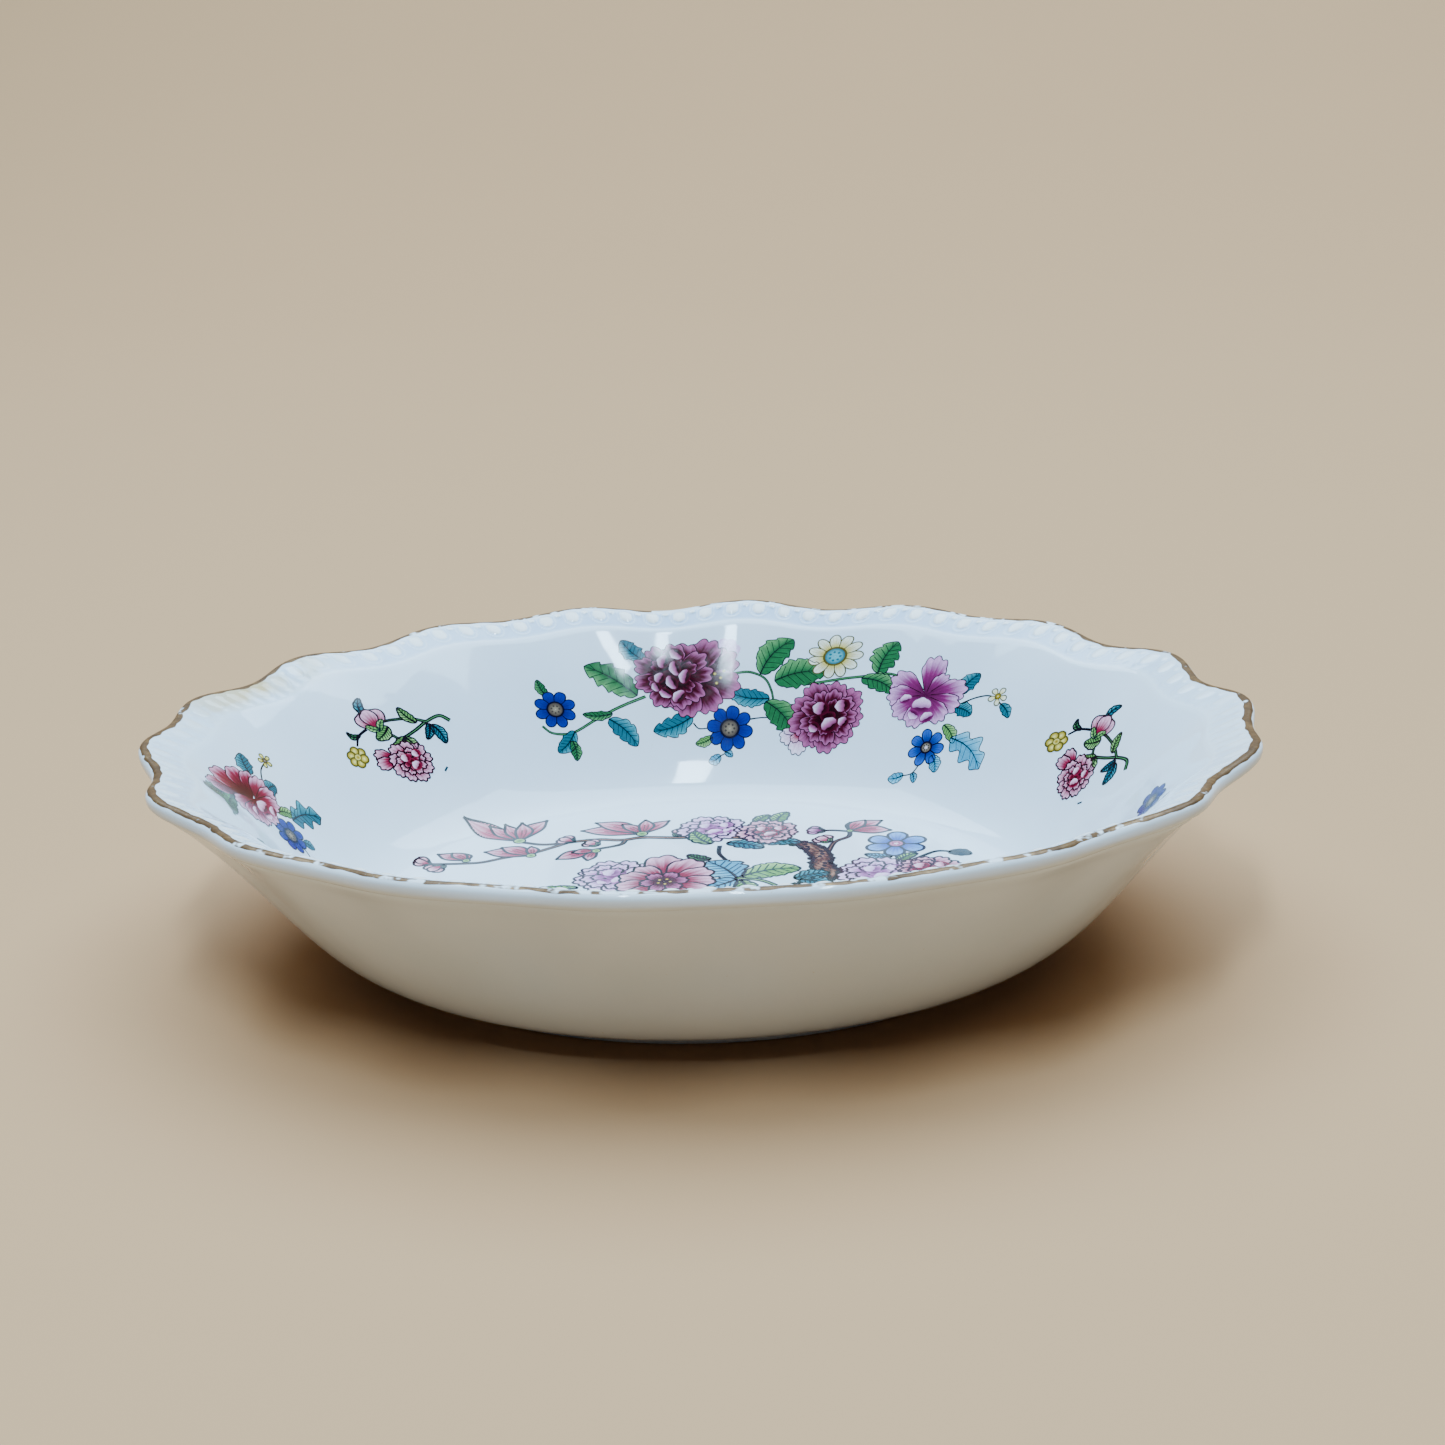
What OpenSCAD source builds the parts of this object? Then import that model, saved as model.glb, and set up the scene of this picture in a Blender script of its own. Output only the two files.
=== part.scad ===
// Oval open serving bowl with a scalloped rim, a beaded border, a gilt edge
// line and floral transfers inside. Millimetres, +Z up, origin on the table
// under the middle of the bowl, +X along the long axis.

/* [Bowl] */
// Length over the rim, on the mean line of its lobes
rim_l = 250; // [242:1:280]
// Width over the rim, on the mean line of its lobes
rim_w = 196; // [188:1:220]
// Height of the rim above the table
rim_h = 51; // [44:0.5:60]
// Thickness of the floor
floor_t = 4; // [3:0.25:5]
// How far the wall runs in from the rim to the foot, at the long sides
wall_run = 34.5; // [28:0.5:37.5]
// How much further the wall runs in at the two ends
end_stretch = 1.4; // [1:0.05:1.5]

/* [Rim] */
// How far a lobe swings out from the mean line
lobe_out = 1.7; // [0:0.1:3]
// How far a lobe lifts above the mean line
lobe_up = 0.55; // [0:0.05:1]
// Depth of the rolled outer lip
lip_h = 4; // [3:0.25:5]
// Number of beads in the border
bead_count = 96; // [60:6:108]
// Radius of one bead
bead_r = 2.3; // [1:0.1:2.5]
// Height of one bead
bead_h = 0.7; // [0.3:0.1:1]
// Width of the gilt line
gilt_w = 1.4; // [0.8:0.1:2]

/* [Foot] */
// Height of the foot ring
foot_h = 4.5; // [3:0.5:6]
// Length of the foot ring
foot_l = 146; // [120:1:150]
// Width of the foot ring
foot_w = 118; // [100:1:124]
// Thickness of the foot ring
foot_t = 4.5; // [3:0.5:8]

/* [Transfers] */
// Thickness of the fired enamel
print_t = 0.12; // [0.05:0.01:0.3]

/* [Hidden] */
a = rim_l / 2;
b = rim_w / 2;
floor_z = foot_h + floor_t;
// Offset from the rim at which the outer lip meets the wall
lip_in = 1.5;
// Offset of the crest of the rim
crest_in = 1.4;
// Top of the inner face: offset from the rim and depth below it
inner_in = 8;
inner_drop = 3.6;
// Pull of each face's curve: along the floor, then from the face's top
outer_low = [12, 0];
outer_high = [-15.5, -18.5];
inner_low = [11.5, 0];
inner_high = [-15, -17.9];
// Rolled lip as [offset, height]: its underside, measured from lip_h below the rim,
// then over the crest to the band, measured from the rim
lip_low = [[-0.5, 0.5], [0, 1.6]];
lip_top = [[0, -1.2], [-0.5, -0.35], [-crest_in, 0], [-2.4, -0.3], [-4.5, -1.6]];
// Middle of the bead row, and how steeply the band under it falls inwards
bead_in = 5.6;
bead_drop = 2.3;
band_slope = 0.62;
// A bead's shoulder, as parts of its radius and height
shoulder_r = 0.7;
shoulder_h = 0.75;
// Waves of the rim, as [count, part of the whole]
waves = [[6, 0.3], [12, 0.35], [18, -0.95]];
// Height at which the waves have died out, and how fast they do
flute_z = 20;
flute_power = 1.4;
// Clearance under the beads and the gilt, and under the transfers
gap = 0.02;
film_gap = 0.1;
// Height of the side sprays and sprigs up the wall, from 0 at the floor to 1
spray_t = 0.72;
sprig_t = 0.7;
// Angle round the rim and height of the left and the right end spray
left_end = [183, 0.72];
right_end = [350, 0.66];
// Angles round the rim of the four sprigs
sprig_turns = [26, 147, 213, 327];
// Heights up the wall between which its scale is taken, and where it is taken round the rim
scale_low = 0.45;
scale_high = 0.95;
scale_mid = 0.7;
// Widths of the tree's trunk and bough
trunk_w = 5;
bough_w = 1.2;
// Facets
th_step = 3;
wall_rows = 11;
foot_sides = 96;
bead_sides = 6;
patch_sides = [8, 12];
// Half length from which a patch takes the finer outline
big_patch = 6;
// Step along a face for its slope, and halvings in the search for a height
slope_step = 0.01;
halvings = 12;
porcelain = [0.93, 0.94, 0.97];
gilt_tone = [0.48, 0.31, 0.16];
rose = [0.66, 0.22, 0.38];
blue = [0.10, 0.25, 0.58];
leaf = [0.38, 0.62, 0.50];
bark = [0.42, 0.28, 0.22];

// ---- curves ----
function bezier(p, t) = let(s = 1 - t)
    s * s * s * p[0] + 3 * t * s * s * p[1] + 3 * t * t * s * p[2] + t * t * t * p[3];

// Control points of the wall's two faces, as [offset from the rim, height]
outer_foot = [-wall_run, foot_h];
outer_top = [-lip_in, rim_h - lip_h];
outer_wall = [outer_foot, outer_foot + outer_low, outer_top + outer_high, outer_top];
inner_foot = [-wall_run - floor_t, floor_z];
inner_top = [-inner_in, rim_h - inner_drop];
inner_wall = [inner_foot, inner_foot + inner_low, inner_top + inner_high, inner_top];

// The waves together make six broad lobes with a cleft pair between each two
function lobe(th) = [for (w = waves) cos(w[0] * th)] * [for (w = waves) w[1]];
// The lobes are full at the rim and die out down the wall
function flute(z) = pow(max(0, min(1, (z - flute_z) / (rim_h - flute_z))), flute_power);
function end_u(u) = u < -lip_in ? -lip_in + (u + lip_in) * end_stretch : u;
// Outward normal of the rim's ellipse
function rim_normal(th) = let(v = [cos(th) / a, sin(th) / b]) v / norm(v);
// A point of the bowl from its offset u, height z and angle th round the rim
function bowl_point(u, z, th) =
    let(f = flute(z) * lobe(th), n = rim_normal(th) * lobe_out * f)
    [(a + end_u(u)) * cos(th) + n[0], (b + u) * sin(th) + n[1], z + lobe_up * f];

// A point on the inner face: th round the rim, t up the wall, raised by lift
function inner_point(th, t, lift) =
    let(p = bezier(inner_wall, t),
        d = bezier(inner_wall, t + slope_step) - bezier(inner_wall, t - slope_step),
        n = [-d[1], d[0]] / norm(d))
    bowl_point(p[0] + n[0] * lift, p[1] + n[1] * lift, th);

// ---- body ----
profile = concat(
    [for (i = [0:wall_rows]) bezier(outer_wall, i / wall_rows)],
    [for (p = lip_low) [p[0], rim_h - lip_h + p[1]]],
    [for (p = lip_top) [p[0], rim_h + p[1]]],
    [for (i = [wall_rows:-1:0]) bezier(inner_wall, i / wall_rows)]);

module bowl_body() {
    cols = 360 / th_step;
    rows = len(profile);
    ring = [for (p = profile, k = [0:cols - 1]) bowl_point(p[0], p[1], k * th_step)];
    points = concat(ring, [[0, 0, foot_h], [0, 0, floor_z]]);
    under = rows * cols;
    wall = [for (r = [0:rows - 2], k = [0:cols - 1], half = [0, 1])
        let(k2 = (k + 1) % cols, r2 = r + 1,
            q = [r * cols + k, r * cols + k2, r2 * cols + k2, r2 * cols + k])
        half == 0 ? [q[0], q[2], q[1]] : [q[0], q[3], q[2]]];
    base = [for (k = [0:cols - 1]) [under, k, (k + 1) % cols]];
    last = (rows - 1) * cols;
    well = [for (k = [0:cols - 1]) [under + 1, last + (k + 1) % cols, last + k]];
    color(porcelain) polyhedron(points, concat(wall, base, well), convexity = 6);
}

// ---- foot ----
module oval(l, w) {
    polygon([for (k = [0:foot_sides - 1])
        [l / 2 * cos(360 * k / foot_sides), w / 2 * sin(360 * k / foot_sides)]]);
}

module foot_ring() {
    color(porcelain) linear_extrude(foot_h) difference() {
        oval(foot_l, foot_w);
        oval(foot_l - 2 * foot_t, foot_w - 2 * foot_t);
    }
}

// ---- rim details ----
// A closed band round the rim from a four-cornered section of [offset, height]
module rim_band(section, step) {
    cols = 360 / step;
    sides = len(section);
    points = [for (p = section, k = [0:cols - 1]) bowl_point(p[0], p[1], k * step)];
    faces = [for (r = [0:sides - 1], k = [0:cols - 1], half = [0, 1])
        let(k2 = (k + 1) % cols, r2 = (r + 1) % sides,
            q = [r * cols + k, r * cols + k2, r2 * cols + k2, r2 * cols + k])
        half == 0 ? [q[0], q[2], q[1]] : [q[0], q[3], q[2]]];
    polyhedron(points, faces, convexity = 4);
}

module gilt_rim_line() {
    inside = -crest_in - gilt_w / 2;
    outside = -crest_in + gilt_w / 2;
    color(gilt_tone)
        rim_band([[outside, rim_h + gap], [outside, rim_h + gap + print_t],
                  [inside, rim_h + gap + print_t], [inside, rim_h + gap]], th_step);
}

// One bead: a low dome on the sloping band inside the rim
module bead(th) {
    n = bead_sides;
    // Arc of the rim that one degree of th spans, near enough for a bead
    arc = norm(bowl_point(-bead_in, rim_h, th + 0.5) - bowl_point(-bead_in, rim_h, th - 0.5));
    at = function(r, lift, k)
        let(out = r * sin(360 * k / n), along = r * cos(360 * k / n))
        bowl_point(out - bead_in, rim_h - bead_drop + out * band_slope + lift, th + along / arc);
    rim = [for (k = [0:n - 1]) at(bead_r, gap, k)];
    shoulder = [for (k = [0:n - 1]) at(bead_r * shoulder_r, bead_h * shoulder_h, k)];
    points = concat([at(0, gap, 0)], rim, shoulder, [at(0, bead_h, 0)]);
    top = 2 * n + 1;
    base = [for (k = [0:n - 1]) [0, 1 + k, 1 + (k + 1) % n]];
    skirt = [for (k = [0:n - 1]) [1 + k, 1 + n + k, 1 + n + (k + 1) % n, 1 + (k + 1) % n]];
    crown = [for (k = [0:n - 1]) [1 + n + k, top, 1 + n + (k + 1) % n]];
    polyhedron(points, concat(base, skirt, crown));
}

module bead_border() {
    color(porcelain) for (i = [0:bead_count - 1]) bead((i + 0.5) * 360 / bead_count);
}

// ---- transfers ----
// The wall's own scale at angle th: [mm along the rim per degree, mm up the wall per unit of t]
function wall_scale(th) =
    let(along = inner_point(th + 1, scale_mid, 0) - inner_point(th, scale_mid, 0),
        up = inner_point(th, scale_high, 0) - inner_point(th, scale_low, 0))
    [norm(along), norm(up) / (scale_high - scale_low)];
// A placing function for the wall: x runs to the right round the wall, y up it,
// and way is 1 for upright or -1 for turned half round
function on_wall(th, t, way = 1) = let(s = wall_scale(th))
    function(x, y, lift) inner_point(th - way * x / s[0], t + way * y / s[1], lift);

// How far up the wall a plan point lies, found by halving
function plan_t(x, y, low, high, n) =
    let(t = (low + high) / 2, u = bezier(inner_wall, t)[0], rx = a + end_u(u), ry = b + u)
    n == 0 ? t
    : pow(x / rx, 2) + pow(y / ry, 2) > 1 ? plan_t(x, y, t, high, n - 1)
    : plan_t(x, y, low, t, n - 1);
on_floor = function(x, y, lift)
    let(t = plan_t(x, y, 0, 1, halvings)) [x, y, bezier(inner_wall, t)[1] + lift];

// A film with a straight-line outline round its centre
module film(place, centre, outline) {
    n = len(outline);
    under = [for (p = concat([centre], outline)) place(p[0], p[1], film_gap)];
    over = [for (p = concat([centre], outline)) place(p[0], p[1], film_gap + print_t)];
    fan = [for (k = [1:n]) [0, k, k % n + 1]];
    crown = [for (k = [1:n]) [n + 1, n + 1 + k % n + 1, n + 1 + k]];
    edge = [for (k = [1:n]) [k, n + 1 + k, n + 2 + k % n, k % n + 1]];
    polyhedron(concat(under, over), concat(fan, crown, edge));
}

// An oval patch: [x, y, half length, half width, turn]
module oval_patch(place, m) {
    n = patch_sides[m[2] > big_patch ? 1 : 0];
    turn = [cos(m[4]), sin(m[4])];
    film(place, [m[0], m[1]], [for (k = [0:n - 1])
        let(x = m[2] * cos(360 * k / n), y = m[3] * sin(360 * k / n))
        [m[0] + x * turn[0] - y * turn[1], m[1] + x * turn[1] + y * turn[0]]]);
}

// A stem from p to q, w wide
module stem(place, p, q, w) {
    side = let(d = q - p) [-d[1], d[0]] / norm(d) * w / 2;
    film(place, (p + q) / 2, [p - side, q - side, q + side, p + side]);
}

module stems(place, line, w) {
    for (i = [0:len(line) - 2]) stem(place, line[i], line[i + 1], w);
}

// The long spray of the two side walls
spray_peonies = [[-14, 5, 11, 11, 0], [22, -6, 9.5, 9, 0], [46, 1, 9.5, 8, 0], [13.5, -13.5, 4, 3, 0]];
spray_blues = [[-47, -1, 4.7, 4.7, 0], [-2.5, -9.6, 5.2, 5.2, 0], [52, -11, 4.5, 4.5, 0]];
spray_leaves = [[-32, 5, 6, 3, -50], [-33, -9.4, 5, 3, -40], [-46, -11, 4, 2, 90],
                [-17.5, -7.8, 5, 3, 10], [2, -0.6, 5.5, 2, 10], [7.5, 10.6, 5.5, 3.5, 50],
                [14.4, 5.6, 5.5, 4, 0], [10, -6.4, 5.5, 3.5, -40], [34, 11.2, 5, 3, 80],
                [34, 3.8, 5, 2.4, -15], [57, 7, 3, 2, 80], [64, -11, 6, 3, -20]];

module side_spray(place) {
    color(rose) for (m = spray_peonies) oval_patch(place, m);
    color(blue) for (m = spray_blues) oval_patch(place, m);
    color(leaf) for (m = spray_leaves) oval_patch(place, m);
}
module back_spray_transfer() {
    side_spray(on_wall(90, spray_t));
}
module front_spray_transfer() {
    side_spray(on_wall(270, spray_t));
}

// The short spray of the two end walls
module end_spray(place) {
    color(rose) oval_patch(place, [-3, 4, 9.5, 8, 0]);
    color(blue) oval_patch(place, [-3.3, -8.4, 4.5, 4.5, 0]);
    color(leaf) for (m = [[7, 11, 3.5, 2.4, 80], [8.5, 3.5, 3, 2, 20], [7.5, -9.5, 5.5, 3, -15],
                          [-15, 14, 6, 3, -40], [-18, 6, 7, 2, -20], [12, 7.7, 2, 2, 0]])
        oval_patch(place, m);
}
module left_end_spray_transfer() {
    end_spray(on_wall(left_end[0], left_end[1]));
}
module right_end_spray_transfer() {
    end_spray(on_wall(right_end[0], right_end[1], -1));
}

// The small sprig between the sprays
module sprig(place) {
    color(rose) for (m = [[0, -6.4, 7.5, 5, -15], [-2, 6.3, 3, 3, 0]]) oval_patch(place, m);
    color(leaf) for (m = [[-2.5, 11.4, 2.2, 1, 70], [6.3, 6.7, 2.6, 1.2, 110], [-1, 2.4, 2.4, 1.6, 0],
                          [10.5, -0.5, 3, 1.2, -60], [-12, -0.6, 2.6, 2.6, 0]])
        oval_patch(place, m);
}
module back_left_sprig_transfer() {
    sprig(on_wall(sprig_turns[1], sprig_t));
}
module back_right_sprig_transfer() {
    sprig(on_wall(sprig_turns[0], sprig_t));
}
module front_left_sprig_transfer() {
    sprig(on_wall(sprig_turns[2], sprig_t));
}
module front_right_sprig_transfer() {
    sprig(on_wall(sprig_turns[3], sprig_t));
}

// The flowering tree on the floor: trunk and boughs, then blossom and leaves
trunk = [[4, -41], [12, -25], [16, -10], [21, 4], [28, 14], [27, 22], [24, 30], [18, 33]];
bough = [[18, 33], [4, 37], [-12, 36], [-24, 34], [-36, 31], [-46, 25], [-57, 19], [-68, 17]];
blossoms = [[-17, 12, 13, 10, 10], [3, 41, 12, 7, -10], [47, 16, 11, 6, -10], [-56, 39, 8, 5, -50],
            [-25, 44, 8, 3.5, 10], [-49, 27, 5, 3, 0], [-64, 21, 4, 2, -30], [35, 44, 4.5, 3.5, 0],
            [-20, -30, 8.5, 8, 0], [31, -23, 8, 7.5, 0], [-44, -12, 7.5, 4, 0]];
floor_leaves = [[3, 16, 5, 4.5, 0], [14, 14, 6, 3.5, 15], [-35, 4, 5, 2.5, 0], [12, 51, 4, 2.5, 30],
                [8, 33, 6, 2, 10], [25, 6, 5, 2.5, 0], [-6, 36, 3, 2, -60], [-2, 3, 4, 3, 0],
                [-7, -43.5, 6, 2.4, 15], [13, -43.5, 6, 2.4, -20], [-36, -30.5, 5, 2.4, -25],
                [51, -21.5, 5, 2.4, -25], [38, -27, 6, 2.4, 75]];
floor_blues = [[43, 33, 7, 4.5, 0], [49, -15, 4.5, 4.5, 0]];

module centre_tree_transfer() {
    color(bark) stems(on_floor, trunk, trunk_w);
    color(bark) stems(on_floor, bough, bough_w);
    color(rose) for (m = blossoms) oval_patch(on_floor, m);
    color(leaf) for (m = floor_leaves) oval_patch(on_floor, m);
    color(blue) for (m = floor_blues) oval_patch(on_floor, m);
}

bowl_body();
foot_ring();
bead_border();
gilt_rim_line();
centre_tree_transfer();
back_spray_transfer();
front_spray_transfer();
left_end_spray_transfer();
right_end_spray_transfer();
back_left_sprig_transfer();
back_right_sprig_transfer();
front_left_sprig_transfer();
front_right_sprig_transfer();
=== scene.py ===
"""Oval open serving bowl: glazed body, beaded border, gilt line and floral transfers."""
import math

import bpy
import numpy as np
from mathutils import Matrix, Vector


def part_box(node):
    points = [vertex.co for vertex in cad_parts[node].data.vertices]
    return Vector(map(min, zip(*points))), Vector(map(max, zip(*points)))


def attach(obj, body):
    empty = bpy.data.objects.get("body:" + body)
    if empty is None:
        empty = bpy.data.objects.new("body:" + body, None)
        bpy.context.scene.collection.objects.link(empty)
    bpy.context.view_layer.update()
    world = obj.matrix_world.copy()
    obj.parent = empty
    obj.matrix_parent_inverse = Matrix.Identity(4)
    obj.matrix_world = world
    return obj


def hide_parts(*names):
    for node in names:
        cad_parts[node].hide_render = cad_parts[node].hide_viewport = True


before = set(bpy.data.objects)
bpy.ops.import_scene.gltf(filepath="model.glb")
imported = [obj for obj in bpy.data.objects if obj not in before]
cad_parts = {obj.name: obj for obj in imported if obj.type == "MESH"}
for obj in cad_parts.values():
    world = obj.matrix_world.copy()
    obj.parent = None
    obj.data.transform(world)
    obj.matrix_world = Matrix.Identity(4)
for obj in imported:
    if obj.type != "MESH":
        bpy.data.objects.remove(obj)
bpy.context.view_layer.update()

MM = 0.001

# ---------------------------------------------------------------------------
# Shape of the bowl, in millimetres. The same rules as the frame's own solids.
# ---------------------------------------------------------------------------
RIM_L, RIM_W, RIM_H = 250.0, 196.0, 51.0
FLOOR_T, WALL_RUN, END_STRETCH = 4.0, 34.5, 1.4
LOBE_OUT, LOBE_UP = 1.7, 0.55
LIP_IN, LIP_H = 1.5, 4.0
FOOT_LOW, FOOT_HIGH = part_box("foot_ring")
FOOT_H = FOOT_HIGH.z / MM
FOOT_A, FOOT_B, FOOT_T = FOOT_HIGH.x / MM, FOOT_HIGH.y / MM, 4.5
FLUTE_Z = 20.0
FLOOR_Z = FOOT_H + FLOOR_T
HALF_L, HALF_W = RIM_L / 2, RIM_W / 2
BEADS = 96

OUTER_WALL = np.array([[-WALL_RUN, FOOT_H], [-WALL_RUN + 12, FOOT_H],
                       [-LIP_IN - 15.5, RIM_H - LIP_H - 18.5], [-LIP_IN, RIM_H - LIP_H]])
INNER_WALL = np.array([[-WALL_RUN - 4, FLOOR_Z], [-WALL_RUN + 7.5, FLOOR_Z],
                       [-23, RIM_H - 21.5], [-8, RIM_H - 3.6]])


def bezier(p, t):
    t = np.asarray(t, float)[..., None]
    return (1 - t) ** 3 * p[0] + 3 * t * (1 - t) ** 2 * p[1] + 3 * t * t * (1 - t) * p[2] + t ** 3 * p[3]


def lobe(th):
    """Scallops round the rim: six broad lobes with a cleft pair between each two."""
    return 0.3 * np.cos(6 * th) + 0.35 * np.cos(12 * th) - 0.95 * np.cos(18 * th)


def flute(z):
    """How strongly the scallops show at height z."""
    return np.clip((z - FLUTE_Z) / (RIM_H - FLUTE_Z), 0, 1) ** 1.4


def end_u(u):
    return np.where(u < -LIP_IN, -LIP_IN + (u + LIP_IN) * END_STRETCH, u)


def bowl_point(u, z, th):
    """Point of the bowl from its offset u inside the rim, height z and angle th."""
    n = np.stack([np.cos(th) / HALF_L, np.sin(th) / HALF_W], -1)
    n = n / np.linalg.norm(n, axis=-1, keepdims=True)
    f = flute(z) * lobe(th)
    x = (HALF_L + end_u(u)) * np.cos(th) + n[..., 0] * LOBE_OUT * f
    y = (HALF_W + u) * np.sin(th) + n[..., 1] * LOBE_OUT * f
    return np.stack([x, y, z + LOBE_UP * f], -1)


def inner_point(th, t):
    """Point of the inner face: th round the rim, t up the wall from the floor's edge."""
    p = bezier(INNER_WALL, t)
    return bowl_point(p[..., 0], p[..., 1], th)


def inner_normal(th, t):
    step = 1e-3
    across = inner_point(th + step, t) - inner_point(th - step, t)
    up = inner_point(th, t + step) - inner_point(th, t - step)
    n = np.cross(across, up)
    n = n / np.linalg.norm(n, axis=-1, keepdims=True)
    return np.where(n[..., 2:3] < 0, -n, n)


# ---------------------------------------------------------------------------
# Mesh helpers
# ---------------------------------------------------------------------------
def new_piece(name, points, faces, material, nodes, normals=None, colours=None):
    mesh = bpy.data.meshes.new(name)
    mesh.from_pydata([tuple(p) for p in (np.asarray(points) * MM)], [], faces)
    mesh.validate()
    mesh.shade_smooth()
    if colours is not None:
        layer = mesh.color_attributes.new("print", "FLOAT_COLOR", "POINT")
        rgba = np.concatenate([colours, np.ones((len(colours), 1))], 1)
        layer.data.foreach_set("color", rgba.astype(np.float32).ravel())
    if normals is not None:
        mesh.normals_split_custom_set_from_vertices([tuple(n) for n in normals])
    mesh.materials.append(material)
    piece = bpy.data.objects.new(name, mesh)
    bpy.context.scene.collection.objects.link(piece)
    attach(piece, "root")
    if nodes:
        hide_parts(*nodes)
    return piece


def ring_faces(rows, cols, flip=False):
    """Quads of a grid of closed rings."""
    faces = []
    for r in range(rows - 1):
        for k in range(cols):
            k2 = (k + 1) % cols
            q = (r * cols + k, r * cols + k2, (r + 1) * cols + k2, (r + 1) * cols + k)
            faces.append(q[::-1] if flip else q)
    return faces


def smooth_line(points, per_span):
    """Catmull-Rom curve through the points."""
    p = np.array(points, float)
    p = np.vstack([2 * p[0] - p[1], p, 2 * p[-1] - p[-2]])
    out = []
    for i in range(1, len(p) - 2):
        for t in np.linspace(0, 1, per_span, endpoint=False):
            a, b, c, d = p[i - 1], p[i], p[i + 1], p[i + 2]
            out.append(0.5 * (2 * b + (c - a) * t + (2 * a - 5 * b + 4 * c - d) * t * t
                              + (3 * b - a - 3 * c + d) * t ** 3))
    out.append(p[-2])
    return np.array(out)


# ---------------------------------------------------------------------------
# Materials
# ---------------------------------------------------------------------------
def node_material(name):
    mat = bpy.data.materials.new(name)
    mat.use_nodes = True
    tree = mat.node_tree
    tree.nodes.clear()
    out = tree.nodes.new("ShaderNodeOutputMaterial")
    shader = tree.nodes.new("ShaderNodeBsdfPrincipled")
    tree.links.new(shader.outputs[0], out.inputs["Surface"])
    coords = tree.nodes.new("ShaderNodeTexCoord")
    return mat, tree, shader, coords.outputs["Object"]


def noise(tree, coords, scale, detail=3.0, rough=0.55):
    n = tree.nodes.new("ShaderNodeTexNoise")
    n.inputs["Scale"].default_value = scale
    n.inputs["Detail"].default_value = detail
    n.inputs["Roughness"].default_value = rough
    tree.links.new(coords, n.inputs["Vector"])
    return n.outputs["Fac"]


def ramp(tree, fac, stops):
    r = tree.nodes.new("ShaderNodeValToRGB")
    while len(r.color_ramp.elements) < len(stops):
        r.color_ramp.elements.new(0.5)
    for e, (pos, col) in zip(r.color_ramp.elements, stops):
        e.position = pos
        e.color = (*col, 1) if len(col) == 3 else col
    tree.links.new(fac, r.inputs[0])
    return r.outputs[0]


def mix(tree, fac, a, b, mode="MIX"):
    m = tree.nodes.new("ShaderNodeMix")
    m.data_type = "RGBA"
    m.blend_type = mode
    for socket, value in ((m.inputs[0], fac), (m.inputs[6], a), (m.inputs[7], b)):
        if isinstance(value, bpy.types.NodeSocket):
            tree.links.new(value, socket)
        elif isinstance(value, (int, float)):
            socket.default_value = value
        else:
            socket.default_value = (*value, 1)
    return m.outputs[2]


def maths(tree, op, a, b=0.0, c=None):
    m = tree.nodes.new("ShaderNodeMath")
    m.operation = op
    for socket, value in zip(m.inputs, (a, b, c)):
        if isinstance(value, bpy.types.NodeSocket):
            tree.links.new(value, socket)
        elif value is not None:
            socket.default_value = value
    return m.outputs[0]


def bump(tree, shader, height, strength, distance):
    b = tree.nodes.new("ShaderNodeBump")
    b.inputs["Strength"].default_value = strength
    b.inputs["Distance"].default_value = distance
    tree.links.new(height, b.inputs["Height"])
    tree.links.new(b.outputs[0], shader.inputs["Normal"])


def height_of(tree, coords):
    s = tree.nodes.new("ShaderNodeSeparateXYZ")
    tree.links.new(coords, s.inputs[0])
    return s.outputs["X"], s.outputs["Y"], s.outputs["Z"]


# The glaze: its two clouded tones, its index, and the stain's place, reach and lower edge in metres
GLAZE_TONES = [(0.3, (0.740, 0.835, 0.930)), (0.7, (0.790, 0.865, 0.945))]
CLOUD_TONES = [(0.35, GLAZE_TONES[0][1]), GLAZE_TONES[1]]
GLASS_IOR = 1.52
STAIN_X, STAIN_Y, STAIN_LOW = -0.113, 0.029, 0.0468
STAIN_PER_M, STAIN_RISE_PER_M = 30, 420


def fired_gloss(tree, shader, co):
    """The index of glass and the soft ripple that the glaze and the enamel share."""
    shader.inputs["IOR"].default_value = GLASS_IOR
    bump(tree, shader, noise(tree, co, 75, 1.5, 0.4), 0.16, 0.0012)


def tea_stain(tree, co, body):
    """A yellow-brown stain in the glaze under the gilt, at the left of the back."""
    x, y, z = height_of(tree, co)
    near_rim = maths(tree, "MULTIPLY", maths(tree, "SUBTRACT", z, STAIN_LOW), STAIN_RISE_PER_M)
    near_rim = maths(tree, "MINIMUM", maths(tree, "MAXIMUM", near_rim, 0.0), 1.0)
    off_x = maths(tree, "POWER", maths(tree, "SUBTRACT", x, STAIN_X), 2)
    off_y = maths(tree, "POWER", maths(tree, "SUBTRACT", y, STAIN_Y), 2)
    away = maths(tree, "SQRT", maths(tree, "ADD", off_x, off_y))
    spot = maths(tree, "MAXIMUM", maths(tree, "SUBTRACT", 1.0, maths(tree, "MULTIPLY", away, STAIN_PER_M)),
                 0.0)
    patch = ramp(tree, noise(tree, co, 90, 3), [(0.40, (0, 0, 0)), (0.60, (1, 1, 1))])
    stain = maths(tree, "MULTIPLY", maths(tree, "MULTIPLY", near_rim, patch), spot)
    return mix(tree, stain, body, (0.66, 0.50, 0.26))


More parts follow.
